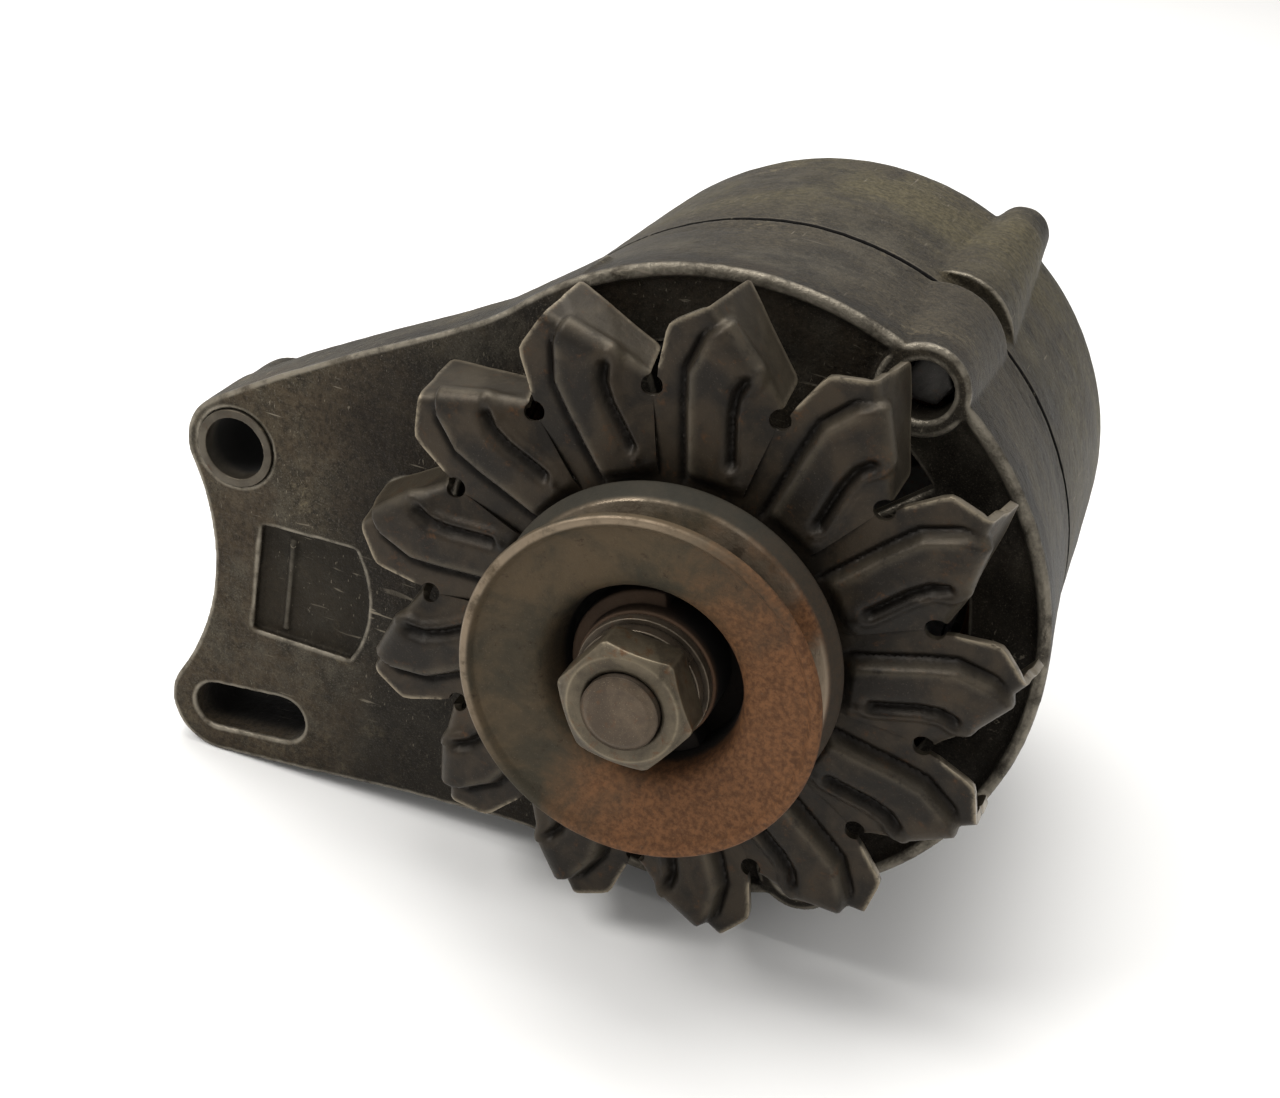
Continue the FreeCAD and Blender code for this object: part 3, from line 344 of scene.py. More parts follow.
    def done(self, color, metallic, rough, spec=None, gain=1.0):
        if gain != 1.0:
            n = self.t.nodes.new("ShaderNodeMix")
            n.data_type = "RGBA"
            n.blend_type = "MULTIPLY"
            n.inputs[0].default_value = 1.0
            self.t.links.new(color, n.inputs[6])
            g = gain if isinstance(gain, tuple) else (gain, gain, gain)
            n.inputs[7].default_value = (g[0], g[1], g[2], 1.0)
            color = n.outputs[2]
        if isinstance(color, tuple):
            self.b.inputs["Base Color"].default_value = (*color, 1.0)
        else:
            self.t.links.new(color, self.b.inputs["Base Color"])
        self.link(metallic, self.b.inputs["Metallic"])
        self.link(rough, self.b.inputs["Roughness"])
        if spec is not None:
            self.b.inputs["Specular IOR Level"].default_value = spec
        return self.m


def cast_material():
    """Sand-cast aluminium darkened by road dirt, with painted shade in the hollows, the adjuster slot and the panel
    floor.
    """
    k = Mat("cast_aluminium_dirty_shaded")
    big = k.noise(22.0, 5.0, 0.6, 0.4)
    mid = k.noise(95.0, 8.0, 0.62, 0.3)
    fine = k.noise(900.0, 6.0, 0.65)
    grit = k.noise(3200.0, 3.0, 0.6)
    base = k.mix(k.ramp(mid, 0.38, 0.62), (0.048, 0.044, 0.038), (0.200, 0.190, 0.168))
    base = k.mix(k.math("MULTIPLY", k.ramp(big, 0.40, 0.62), 0.7), base, k.mix(k.ramp(fine, 0.35, 0.65), (0.060, 0.052, 0.040), (0.185, 0.160, 0.118)))
    # pale dusty blotches
    dust = k.math("MULTIPLY", k.ramp(k.noise(60.0, 9.0, 0.7, 0.6), 0.56, 0.70), k.ramp(fine, 0.40, 0.62))
    base = k.mix(k.math("MULTIPLY", dust, 0.9), base, (0.42, 0.375, 0.275))
    speck = k.ramp(grit, 0.54, 0.68)
    base = k.mix(k.math("MULTIPLY", speck, 0.6), base, (0.36, 0.335, 0.29))
    pits = k.ramp(k.noise(2400.0, 3.0, 0.6), 0.46, 0.36)
    base = k.mix(k.math("MULTIPLY", pits, 0.6), base, (0.025, 0.022, 0.018))
    # painted shade in the hollows, from ambient occlusion (after the stains below)
    x, y, z = k.xyz()
    # olive road dust towards the rear, brown stain on the open front face
    back = k.math("MULTIPLY", k.ramp(y, 0.066, 0.110), k.ramp(k.noise(38.0, 6.0, 0.65, 0.5), 0.40, 0.62))
    base = k.mix(k.math("MULTIPLY", back, 0.8), base, k.mix(k.ramp(fine, 0.32, 0.68), (0.125, 0.112, 0.066), (0.33, 0.30, 0.19)))
    face = k.math("MULTIPLY", k.ramp(y, 0.041, 0.036), k.ramp(k.noise(48.0, 7.0, 0.7, 0.4), 0.42, 0.60))
    base = k.mix(k.math("MULTIPLY", face, 0.6), base, k.mix(k.ramp(fine, 0.35, 0.65), (0.070, 0.052, 0.036), (0.175, 0.134, 0.092)))
    # painted shade: ambient occlusion darkens the hollows almost to black
    hollow_shade = k.hollows(0.008, 0.30, 0.90)
    base = k.mix(k.math("MULTIPLY", hollow_shade, 0.70), base, (0.020, 0.017, 0.014))
    # darker front face, most beside the fan and low on the right
    front_darkening = k.math("MULTIPLY", k.ramp(y, 0.0400, 0.0370), k.ramp(k.math("ADD", x, k.math("MULTIPLY", k.math("SUBTRACT", big, 0.5), 0.05)), -0.082, -0.062))
    low = k.ramp(k.math("ADD", z, k.math("MULTIPLY", k.math("SUBTRACT", mid, 0.5), 0.04)), 0.050, 0.005)
    front_darkening = k.math("MULTIPLY", front_darkening, k.mixf(low, 0.45, 0.80))
    base = k.mix(front_darkening, base, k.mix(speck, (0.022, 0.019, 0.017), (0.085, 0.080, 0.074)))
    # bare metal on edges
    worn = k.ramp(k.noise(160.0, 7.0, 0.7), 0.30, 0.60)
    seam = k.math("ABSOLUTE", k.math("SUBTRACT", y, 0.07425))
    near_seam = k.math("MULTIPLY", k.ramp(seam, 0.0026, 0.0014), k.ramp(k.radius(), 0.056, 0.058))
    edge = k.math("MULTIPLY", k.math("MULTIPLY", k.ramp(k.attribute("wear"), 0.20, 0.62), k.mixf(worn, 0.06, 0.72)), k.math("SUBTRACT", 1.0, near_seam))
    base = k.mix(edge, base, (0.72, 0.70, 0.66))
    rubbed = k.math("MULTIPLY", k.math("MULTIPLY", k.ramp(seam, 0.0016, 0.0011), k.ramp(k.radius(), 0.056, 0.058)), worn)
    base = k.mix(k.math("MULTIPLY", rubbed, 0.5), base, (0.50, 0.48, 0.44))
    gap = k.math("MULTIPLY", k.ramp(seam, 0.00115, 0.00085), k.ramp(k.radius(), 0.056, 0.058))
    base = k.mix(gap, base, (0.006, 0.005, 0.005))
    # painted shade: near-black inside the adjuster slot and on the floor of the blank panel
    du = k.math("ADD", k.math("MULTIPLY", k.math("ADD", x, 0.0928), 0.99255), k.math("MULTIPLY", k.math("ADD", z, 0.0587), 0.12187))
    dv = k.math("SUBTRACT", k.math("MULTIPLY", k.math("ADD", z, 0.0587), 0.99255), k.math("MULTIPLY", k.math("ADD", x, 0.0928), 0.12187))
    dx = k.math("MAXIMUM", k.math("SUBTRACT", k.math("ABSOLUTE", du), 0.00775), 0.0)
    ds = k.math("SQRT", k.math("ADD", k.math("MULTIPLY", dx, dx), k.math("MULTIPLY", dv, dv)))
    slot = k.math("MULTIPLY", k.ramp(ds, 0.0062, 0.0057), k.ramp(y, 0.0325, 0.0385))
    base = k.mix(k.math("MULTIPLY", slot, 0.96), base, (0.006, 0.005, 0.004))
    px = k.math("MULTIPLY", k.ramp(x, -0.0985, -0.0980), k.ramp(x, -0.0640, -0.0645))
    pz = k.math("MULTIPLY", k.ramp(z, -0.0470, -0.0465), k.ramp(z, -0.0040, -0.0045))
    panel_floor_shade = k.math("MULTIPLY", k.math("MULTIPLY", px, pz), k.math("MULTIPLY", k.ramp(y, 0.0320, 0.0328), k.ramp(y, 0.0362, 0.0350)))
    base = k.mix(k.math("MULTIPLY", panel_floor_shade, 0.72), base, (0.030, 0.026, 0.020))
    # scratches
    s1 = k.ramp(k.noise(1.0, 2.0, 0.5, 0.0, k.scaled(90, 2600, 900, (0.3, 0.2, 0.5))), 0.665, 0.72)
    s2 = k.ramp(k.noise(1.0, 2.0, 0.5, 0.0, k.scaled(2100, 120, 700, (0.9, 0.1, -0.4))), 0.675, 0.73)
    scr = k.math("MULTIPLY", k.math("MAXIMUM", s1, s2), k.ramp(k.noise(35.0, 3.0), 0.44, 0.62))
    base = k.mix(k.math("MULTIPLY", scr, 0.8), base, (0.60, 0.57, 0.52))
    met = k.mixf(k.math("MAXIMUM", edge, scr), 0.55, 0.95)
    rough = k.mixf(edge, k.mixf(mid, 0.42, 0.72), 0.34)
    k.bump([(mid, 1.2, 0.28), (k.noise(420.0, 4.0, 0.6), 0.7, 0.60), (fine, 0.30, 0.75), (grit, 0.10, 0.60), (scr, 0.06, -0.5)])
    dead = k.math("MAXIMUM", gap, slot)
    return k.done(base, k.mixf(dead, met, 0.0), k.mixf(dead, rough, 0.95), 0.2, (0.35, 0.322, 0.272))


def fan_material():
    """Pressed steel with old black paint and brown rust, worn at edges; painted shade darkens the front-facing
    surfaces and the creases.
    """
    k = Mat("fan_steel_worn")
    mid = k.noise(120.0, 8.0, 0.6, 0.3)
    fine = k.noise(1100.0, 6.0, 0.65)
    grit = k.noise(3600.0, 3.0, 0.6)
    # painted light and shade: surfaces facing the front get a darker colour than the folded blades, which face up to
    # the light
    nx, ny, nz = k.xyz(k.tc.outputs["Normal"])
    front = k.ramp(ny, -0.35, -0.85)
    front_shaded_col = k.mix(k.ramp(mid, 0.36, 0.66), (0.028, 0.024, 0.020), (0.085, 0.068, 0.050))
    blade_lit_col = k.mix(k.ramp(mid, 0.34, 0.68), (0.066, 0.058, 0.046), (0.125, 0.112, 0.090))
    base = k.mix(front, blade_lit_col, front_shaded_col)
    rust = k.math("MULTIPLY", k.ramp(k.noise(260.0, 7.0, 0.7, 0.5), 0.55, 0.70), k.ramp(fine, 0.42, 0.6))
    base = k.mix(k.math("MULTIPLY", rust, 0.75), base, (0.17, 0.085, 0.035))
    speck = k.ramp(grit, 0.62, 0.70)
    base = k.mix(k.math("MULTIPLY", speck, 0.4), base, (0.20, 0.19, 0.17))
    # painted shade: ambient occlusion darkens the hollows
    hollow_shade = k.hollows(0.006)
    base = k.mix(k.math("MULTIPLY", hollow_shade, 0.75), base, (0.010, 0.009, 0.008))
    # painted shade darkens the creases; bare metal shows on ridges and cut edges
    low = k.attribute("crease")
    base = k.mix(k.math("MULTIPLY", low, 0.85), base, (0.012, 0.010, 0.008))
    rub = k.math("MULTIPLY", k.attribute("wear"), k.ramp(k.noise(420.0, 6.0, 0.7), 0.28, 0.52))
    base = k.mix(k.math("MULTIPLY", rub, 0.75), base, (0.80, 0.76, 0.68))
    met = k.mixf(rub, 0.45, 0.9)
    rough = k.mixf(rub, k.mixf(fine, 0.36, 0.60), 0.34)
    k.bump([(k.noise(300.0, 4.0, 0.6), 0.35, 0.30), (fine, 0.12, 0.40), (grit, 0.05, 0.35)])
    return k.done(base, met, rough, 0.3, (0.37, 0.33, 0.27))


def pulley_material():
    """Turned steel: rust-stained face, belt-polished groove walls."""
    k = Mat("pulley_steel_rusty")
    r = k.radius()
    x, y, z = k.xyz()
    rings = k.noise(1.0, 4.0, 0.7, 0.0, k.combine(k.math("MULTIPLY", r, 2600.0), 0.0, k.math("MULTIPLY", y, 2600.0)))
    mid = k.noise(70.0, 8.0, 0.65, 0.4)
    fine = k.noise(1000.0, 7.0, 0.7)
    grit = k.noise(3000.0, 3.0, 0.6)
    base = k.mix(k.ramp(mid, 0.36, 0.60), (0.105, 0.096, 0.070), (0.215, 0.165, 0.105))
    # heavier rust to the right of the face
    side = k.ramp(k.math("ADD", k.math("SUBTRACT", x, k.math("MULTIPLY", z, 0.45)), k.math("MULTIPLY", k.math("SUBTRACT", mid, 0.5), 0.06)), -0.012, 0.020)
    base = k.mix(k.math("MULTIPLY", side, 0.85), base, k.mix(k.ramp(fine, 0.34, 0.66), (0.20, 0.083, 0.034), (0.52, 0.245, 0.112)))
    spots = k.math("MULTIPLY", k.ramp(k.noise(420.0, 6.0, 0.75, 0.3), 0.55, 0.68), k.ramp(fine, 0.40, 0.62))
    base = k.mix(k.math("MULTIPLY", spots, 0.75), base, (0.060, 0.038, 0.026))
    base = k.mix(k.math("MULTIPLY", k.ramp(grit, 0.6, 0.7), 0.45), base, (0.30, 0.23, 0.17))
    # polished groove: r > 22 mm between the two flanges
    flank = k.math("ADD", k.math("ADD", y, 0.0026), k.math("MULTIPLY", k.math("SUBTRACT", r, 0.022), 0.21))
    groove = k.math("MULTIPLY", k.math("MULTIPLY", k.ramp(flank, -0.0002, 0.0001), k.ramp(y, 0.0062, 0.0050)), k.ramp(r, 0.0215, 0.0225))
    shine = k.math("MULTIPLY", groove, k.ramp(k.noise(55.0, 5.0, 0.6), 0.36, 0.56))
    base = k.mix(k.math("MULTIPLY", shine, 0.9), base, k.mix(rings, (0.34, 0.28, 0.22), (0.62, 0.56, 0.48)))
    hub = k.math("MULTIPLY", k.ramp(r, 0.0172, 0.0162), k.ramp(y, 0.0065, 0.0040))
    base = k.mix(k.math("MULTIPLY", hub, 0.75), base, k.mix(mid, (0.17, 0.10, 0.065), (0.26, 0.17, 0.12)))
    # painted shade: ambient occlusion darkens the hollows
    hollow_shade = k.hollows(0.009, 0.15, 0.70)
    base = k.mix(k.math("MULTIPLY", hollow_shade, 0.75), base, (0.016, 0.012, 0.010))
    # painted shade: black deep in the hub recess and over the right side of the recess, where shadow falls
    recess_shade = k.math("MULTIPLY", k.ramp(r, 0.0177, 0.0168), k.ramp(y, 0.0030, 0.0062))
    right = k.math("MULTIPLY", k.math("MULTIPLY", k.ramp(x, -0.002, 0.006), k.ramp(r, 0.0180, 0.0172)), k.ramp(y, -0.0004, 0.0016))
    recess_shade = k.math("MAXIMUM", recess_shade, right)
    base = k.mix(k.math("MULTIPLY", recess_shade, 0.95), base, (0.006, 0.005, 0.004))
    flange = k.math("MULTIPLY", k.ramp(y, 0.0052, 0.0060), k.ramp(r, 0.029, 0.031))
    base = k.mix(k.math("MULTIPLY", flange, 0.85), base, k.mix(mid, (0.050, 0.052, 0.046), (0.11, 0.11, 0.095)))
    # painted highlight: a bright line along the front bead, strongest over the top and left where the light falls
    bead_highlight = k.math("MULTIPLY", k.math("MULTIPLY", k.ramp(r, 0.0311, 0.0318), k.ramp(y, -0.0062, -0.0066)), k.ramp(k.math("SUBTRACT", k.math("MULTIPLY", z, 0.7), x), 0.004, 0.030))
    edge = k.math("MULTIPLY", bead_highlight, k.math("MULTIPLY", k.ramp(k.noise(180.0, 6.0, 0.7), 0.30, 0.55), 0.7))
    base = k.mix(k.math("MULTIPLY", edge, 0.85), base, (0.80, 0.68, 0.55))
    met = k.mixf(k.math("MAXIMUM", edge, shine), k.mixf(recess_shade, 0.25, 0.0), 0.95)
    rough = k.mixf(recess_shade, k.mixf(shine, k.mixf(edge, k.mixf(fine, 0.60, 0.88), 0.34), 0.28), 0.95)
    k.bump([(mid, 0.5, 0.2), (rings, 0.06, 0.25), (fine, 0.18, 0.55), (grit, 0.06, 0.45)])
    return k.done(base, met, rough, 0.22, (0.33, 0.305, 0.27))


def steel_material(name, dark, light, edge_col, rough_lo=0.32, rough_hi=0.6, rust=0.35, metal=0.75, gain=1.0, worn=1.0, bore=None):
    k = Mat(name)
    mid = k.noise(150.0, 7.0, 0.62, 0.3)
    fine = k.noise(1400.0, 6.0, 0.68)
    grit = k.noise(4200.0, 3.0, 0.6)
    base = k.mix(k.ramp(mid, 0.34, 0.66), dark, light)
    rs = k.math("MULTIPLY", k.ramp(k.noise(330.0, 7.0, 0.72, 0.5), 0.54, 0.68), rust)
    base = k.mix(rs, base, (0.20, 0.105, 0.050))
    base = k.mix(k.math("MULTIPLY", k.ramp(grit, 0.60, 0.70), 0.35), base, edge_col)
    # painted shade: ambient occlusion darkens the hollows
    hollow_shade = k.hollows(0.005)
    base = k.mix(k.math("MULTIPLY", hollow_shade, 0.7), base, (0.014, 0.012, 0.010))
    line = k.attribute("wear") if worn < 0 else k.edges(0.52, 0.60)
    edge = k.math("MULTIPLY", line, k.math("MULTIPLY", k.ramp(k.noise(240.0, 6.0, 0.7), 0.28, 0.54), abs(worn)))
    base = k.mix(edge, base, edge_col)
    met = k.mixf(edge, metal, 0.97)
    rough = k.mixf(edge, k.mixf(fine, rough_lo, rough_hi), 0.28)
    if bore is not None:
        # painted shade: near-black inside a bore, from just inside its mouth
        x, y, z = k.xyz()
        bx, bz = k.math("SUBTRACT", x, bore[0]), k.math("SUBTRACT", z, bore[1])
        br = k.math("SQRT", k.math("ADD", k.math("MULTIPLY", bx, bx), k.math("MULTIPLY", bz, bz)))
        bore_shade = k.math("MULTIPLY", k.ramp(br, bore[2] + 0.0006, bore[2] + 0.0002), k.ramp(y, bore[3], bore[3] + 0.004))
        base = k.mix(k.math("MULTIPLY", bore_shade, 0.95), base, (0.008, 0.007, 0.006))
        met, rough = k.mixf(bore_shade, met, 0.0), k.mixf(bore_shade, rough, 0.95)
    k.bump([(k.noise(500.0, 4.0, 0.6), 0.15, 0.25), (fine, 0.06, 0.35), (grit, 0.03, 0.3)])
    return k.done(base, met, rough, 0.4, gain)


def plastic_material(name, dark, light):
    k = Mat(name)
    mid = k.noise(130.0, 7.0, 0.6)
    fine = k.noise(1500.0, 5.0, 0.6)
    base = k.mix(k.ramp(mid, 0.35, 0.65), dark, light)
    dust = k.math("MULTIPLY", k.ramp(fine, 0.5, 0.7), 0.35)
    base = k.mix(dust, base, (0.14, 0.125, 0.10))
    edge = k.edges(0.53, 0.62)
    base = k.mix(k.math("MULTIPLY", edge, 0.5), base, (0.12, 0.12, 0.12))
    k.bump([(fine, 0.06, 0.3), (mid, 0.2, 0.1)])
    return k.done(base, 0.0, k.mixf(mid, 0.45, 0.7))


def lamination_material():
    """Stacked electrical sheet: fine lines square to the shaft, light rust."""
    k = Mat("laminations_rusty")
    x, y, z = k.xyz()
    lines = k.math("PINGPONG", k.math("MULTIPLY", y, 2000.0), 0.5)
    mid = k.noise(120.0, 7.0, 0.65)
    fine = k.noise(1300.0, 6.0, 0.7)
    base = k.mix(k.ramp(mid, 0.35, 0.65), (0.09, 0.085, 0.08), (0.20, 0.19, 0.18))
    base = k.mix(k.math("MULTIPLY", k.ramp(fine, 0.5, 0.66), 0.5), base, (0.19, 0.09, 0.04))
    base = k.mix(k.math("MULTIPLY", k.ramp(lines, 0.12, 0.02), 0.7), base, (0.02, 0.018, 0.016))
    k.bump([(lines, 0.15, 0.4), (fine, 0.06, 0.3)])
    return k.done(base, 0.7, k.mixf(fine, 0.4, 0.65))


def copper_material(name, dark, light, wires=True):
    k = Mat(name)
    mid = k.noise(140.0, 7.0, 0.6)
    fine = k.noise(1200.0, 5.0, 0.65)
    base = k.mix(k.ramp(mid, 0.35, 0.65), dark, light)
    layers = [(fine, 0.05, 0.3)]
    if wires:
        r = k.radius()
        w = k.math("PINGPONG", k.math("MULTIPLY", k.math("ADD", r, k.math("MULTIPLY", mid, 0.0012)), 900.0), 0.5)
        base = k.mix(k.math("MULTIPLY", k.ramp(w, 0.16, 0.02), 0.8), base, (0.05, 0.018, 0.008))
        layers.insert(0, (w, 0.5, 0.5))
    k.bump(layers)
    return k.done(base, 0.8, k.mixf(fine, 0.3, 0.55))


def carbon_material():
    k = Mat("brush_carbon")
    fine = k.noise(2000.0, 5.0, 0.7)
    mid = k.noise(200.0, 5.0, 0.6)
    base = k.mix(fine, (0.030, 0.030, 0.032), (0.085, 0.083, 0.082))
    k.bump([(fine, 0.05, 0.4), (mid, 0.1, 0.2)])
    return k.done(base, 0.2, k.mixf(mid, 0.45, 0.7))


MAT = {
    "cast": cast_material(),
    "fan": fan_material(),
    "pulley": pulley_material(),
    "nut": steel_material("nut_steel", (0.11, 0.095, 0.074), (0.25, 0.225, 0.180), (0.62, 0.58, 0.49), 0.38, 0.62, 1.0, 0.55, (0.37, 0.33, 0.27), -0.5),
    "shaft": steel_material("shaft_steel", (0.12, 0.098, 0.078), (0.21, 0.172, 0.135), (0.62, 0.58, 0.50), 0.42, 0.66, 0.75, 0.55, (0.44, 0.39, 0.325), 0.0),
    "washer": steel_material("washer_steel", (0.14, 0.12, 0.10), (0.25, 0.22, 0.19), (0.60, 0.57, 0.52), 0.36, 0.62, 0.7, 0.7, (0.48, 0.43, 0.36)),
    "bush": steel_material("bush_steel", (0.20, 0.19, 0.175), (0.36, 0.35, 0.33), (0.70, 0.66, 0.58), 0.40, 0.60, 0.6, 0.7, (0.24, 0.212, 0.17), 0.6, (-0.0997, 0.0020, 0.0065, 0.0325)),
    "bolt": steel_material("bolt_steel", (0.07, 0.066, 0.06), (0.16, 0.15, 0.14), (0.52, 0.50, 0.47), 0.36, 0.6, 0.5, 0.75, 0.6),
    "bearing": steel_material("bearing_steel", (0.50, 0.50, 0.49), (0.68, 0.68, 0.67), (0.85, 0.85, 0.84), 0.12, 0.28, 0.08, 0.97),
    "sheet_al": steel_material("sheet_aluminium", (0.30, 0.30, 0.29), (0.48, 0.48, 0.47), (0.75, 0.75, 0.74), 0.35, 0.55, 0.05, 0.9),
    "brass": steel_material("terminal_brass", (0.22, 0.15, 0.065), (0.46, 0.33, 0.15), (0.72, 0.58, 0.32), 0.36, 0.6, 0.35, 0.85, 0.5),
    "plastic": plastic_material("black_moulding", (0.012, 0.012, 0.012), (0.035, 0.034, 0.033)),
    "lamination": lamination_material(),
    "copper": copper_material("enamelled_copper", (0.045, 0.018, 0.009), (0.10, 0.042, 0.018)),
    "slip": copper_material("slip_ring_copper", (0.40, 0.19, 0.085), (0.62, 0.33, 0.17), False),
    "carbon": carbon_material(),
}


def dress(ob, mat):
    ob.data.materials.clear()
    ob.data.materials.append(MAT[mat])


for slots, mat in (
    (("drive_end_bracket", "rear_housing"), "cast"), (("fan",), "fan"), (("pulley",), "pulley"), (("shaft_nut",), "nut"),
    (("plain_washer", "spring_washer", "fan_spacer"), "washer"), (("pivot_bush",), "bush"),
    (("shaft", "woodruff_key", "bearing_retainer_plate", "retainer_screws", "through_bolts", "through_bolt_washers",
      "brush_holder_screws", "rectifier_screws", "brush_spring_front", "brush_spring_rear"), "bolt"),
    (("front_bearing_outer_ring", "front_bearing_inner_ring", "front_bearing_balls", "front_bearing_cage",
      "rear_bearing_outer_ring", "rear_bearing_inner_ring", "rear_bearing_balls", "rear_bearing_cage"), "bearing"),
    (("rotor_core", "rotor_claw_front", "rotor_claw_rear", "stator_core"), "lamination"),
    (("coil_bobbin", "slip_ring_insulator", "brush_holder", "rectifier_sleeves", "output_stud_sleeve",
      "output_stud_insulator", "terminal_block"), "plastic"),
    (("field_coil", "stator_windings", "stator_slot_bars"), "copper"), (("slip_ring_front", "slip_ring_rear"), "slip"),
    (("brush_front", "brush_rear"), "carbon"), (("heat_sink_positive", "heat_sink_negative", "diodes_positive", "diodes_negative"), "sheet_al"),
    (("output_stud", "output_stud_nut", "spade_terminals"), "brass"),
):
    for n in slots:
        dress(nodes[n], mat)


# ---------------------------------------------------------------------------
# castings: soft-edged copies of the CAD solids
# ---------------------------------------------------------------------------
for node, name in (("drive_end_bracket", "bracket_casting"), ("rear_housing", "housing_casting")):
    ob = cast_copy(node, name, 0.40, 6, ((90.0, 0.10), (320.0, 0.05)))
    dress(ob, "cast")
    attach(ob, "housing")
    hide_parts(node)

for node, mat, slot, body, vox, st in (
    ("plain_washer", "washer", "steel", "rotor", 0.2, 2),
    ("spring_washer", "washer", "steel", "rotor", 0.2, 2), ("pivot_bush", "bush", "steel", "housing", 0.25, 2),
    ("through_bolts", "bolt", "steel", "housing", 0.4, 1),
    ("through_bolt_washers", "bolt", "steel", "housing", 0.25, 1), ("brush_holder", "plastic", "black_plastic", "housing", 0.35, 2),
    ("terminal_block", "plastic", "black_plastic", "housing", 0.3, 2), ("output_stud_nut", "brass", "brass", "housing", 0.25, 2),
    ("output_stud_insulator", "plastic", "black_plastic", "housing", 0.25, 2),
):
    ob = cast_copy(node, node + "_look", vox, st)
    dress(ob, mat)
    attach(ob, body)
    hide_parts(node)


def nut_mesh(name, flat, phase, y0, y1, bore, face_r, slope=0.577):
    """Hexagon nut with a turned chamfer on its front face."""
    vs, fs, wear = [], [], []
    count = 360
    ring = None
    for k in range(count):
        a = phase + 360.0 * k / count
        off = ((a - phase + 30.0) % 60.0) - 30.0
        hexr = flat / math.cos(math.radians(30.0 - abs(off)))
        hexr -= 0.28 * math.exp(-((off / 1.6) ** 2))
        drop = (hexr - face_r) * slope
        pts = [(bore, y1 - 0.02, 0), (bore, y0 + 0.5, 0), (bore + 0.45, y0 + 0.02, 0.5), (bore + 0.9, y0, 0.1), (0.5 * (bore + face_r), y0, 0), (face_r - 0.35, y0, 0.15),
               (face_r, y0 + 0.05, 1.0), (face_r + 0.35, y0 + 0.22, 0.25), (face_r + 0.6 * (hexr - face_r - 0.2), y0 + 0.6 * drop, 0.0), (hexr - 0.22, y0 + drop - 0.13, 0.3),
               (hexr - 0.02, y0 + drop + 0.08, 1.0), (hexr, y0 + drop + 0.4, 0.3), (hexr, y0 + drop + 1.2, 0.0), (hexr, y1 - 1.2, 0.0), (hexr, y1 - 0.3, 0.2), (hexr - 0.25, y1 - 0.02, 0.6)]
        crest = math.exp(-((off / 1.5) ** 2))
        ring = len(pts)
        c, sn = math.cos(math.radians(a)), math.sin(math.radians(a))
        for i, (r, y, w) in enumerate(pts):
            vs.append((r * c, y, r * sn))
            wear.append(max(w, crest * (1.0 if i >= 9 else 0.0)))
    for k in range(count):
        k2 = (k + 1) % count
        for i in range(ring):
            j = (i + 1) % ring
            fs.append((k * ring + i, k2 * ring + i, k2 * ring + j, k * ring + j))
    ob = mesh_object(name, vs, fs)
    at = ob.data.attributes.new("wear", "FLOAT", "POINT")
    at.data.foreach_set("value", wear)
    fix_normals(ob)
    return ob


ob = nut_mesh("shaft_nut_look", 10.98, -4.0, -13.1, -5.12, 7.0, 10.0)
dress(ob, "nut")
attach(ob, "rotor")
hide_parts("shaft_nut")


# ---------------------------------------------------------------------------
# pulley: one turning, with rounded corners and a deep hub recess
# ---------------------------------------------------------------------------
prof = [
    (7.5, -0.6, 0.3), (12.8, -0.6, 0.5), (12.85, 2.4, 0.3), (15.2, 3.0, 0.5), (15.2, 8.6, 0.4), (17.0, 8.6, 0.4), (17.0, 3.2, 1.2),
    (17.8, -0.4, 1.2), (18.3, -2.0, 0.8), (19.3, -3.3, 0.8), (21.0, -4.0, 1.2), (30.5, -5.6, 0.25), (31.0, -6.3, 0.25), (31.5, -6.8, 0.3),
    (32.6, -6.8, 0.35), (33.1, -6.2, 0.35), (33.1, -5.3, 0.35), (32.6, -4.75, 0.3), (22.2, -1.7, 0.8), (22.2, 2.4, 0.8), (31.0, 5.1, 0.3),
    (31.7, 6.0, 0.3), (33.1, 8.5, 0.3), (33.1, 9.2, 0.3), (32.4, 9.6, 0.3), (29.0, 9.4, 1.0), (20.5, 10.2, 2.0), (16.0, 12.5, 0.8), (16.0, 14.65, 0.3), (7.5, 14.65, 0.3)]
ob = lathe("pulley_turning", subdivide(soften(prof, 0.4, 4), 0.45), 400)
# two cast webs left beside the hub: a long one at the left, a short one below
FLOOR_Y = 8.7


def ease(t):
    t = min(1.0, max(0.0, t))
    return t * t * (3 - 2 * t)


for vert in ob.data.vertices:
    x, y, z = (c / MM for c in vert.co)
    r = math.hypot(x, z)
    if 12.86 < r < 16.95 and -0.7 < y < FLOOR_Y:
        ang = math.degrees(math.atan2(z, x)) % 360.0
        w = max(ease((ang - 86.0) / 5.0) * ease((206.0 - ang) / 5.0), 1.7 * ease((ang - 286.0) / 5.0) * ease((316.0 - ang) / 5.0))
        top = 12.85 + 2.35 * w
        rn = 12.85 + (r - 12.85) * w if r <= 15.2 else top + (17.0 - top) * (r - 15.2) / 1.8
        vert.co = (x / r * rn * MM, vert.co[1], z / r * rn * MM)
ob.data.update()
dress(ob, "pulley")
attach(ob, "rotor")
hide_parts("pulley")

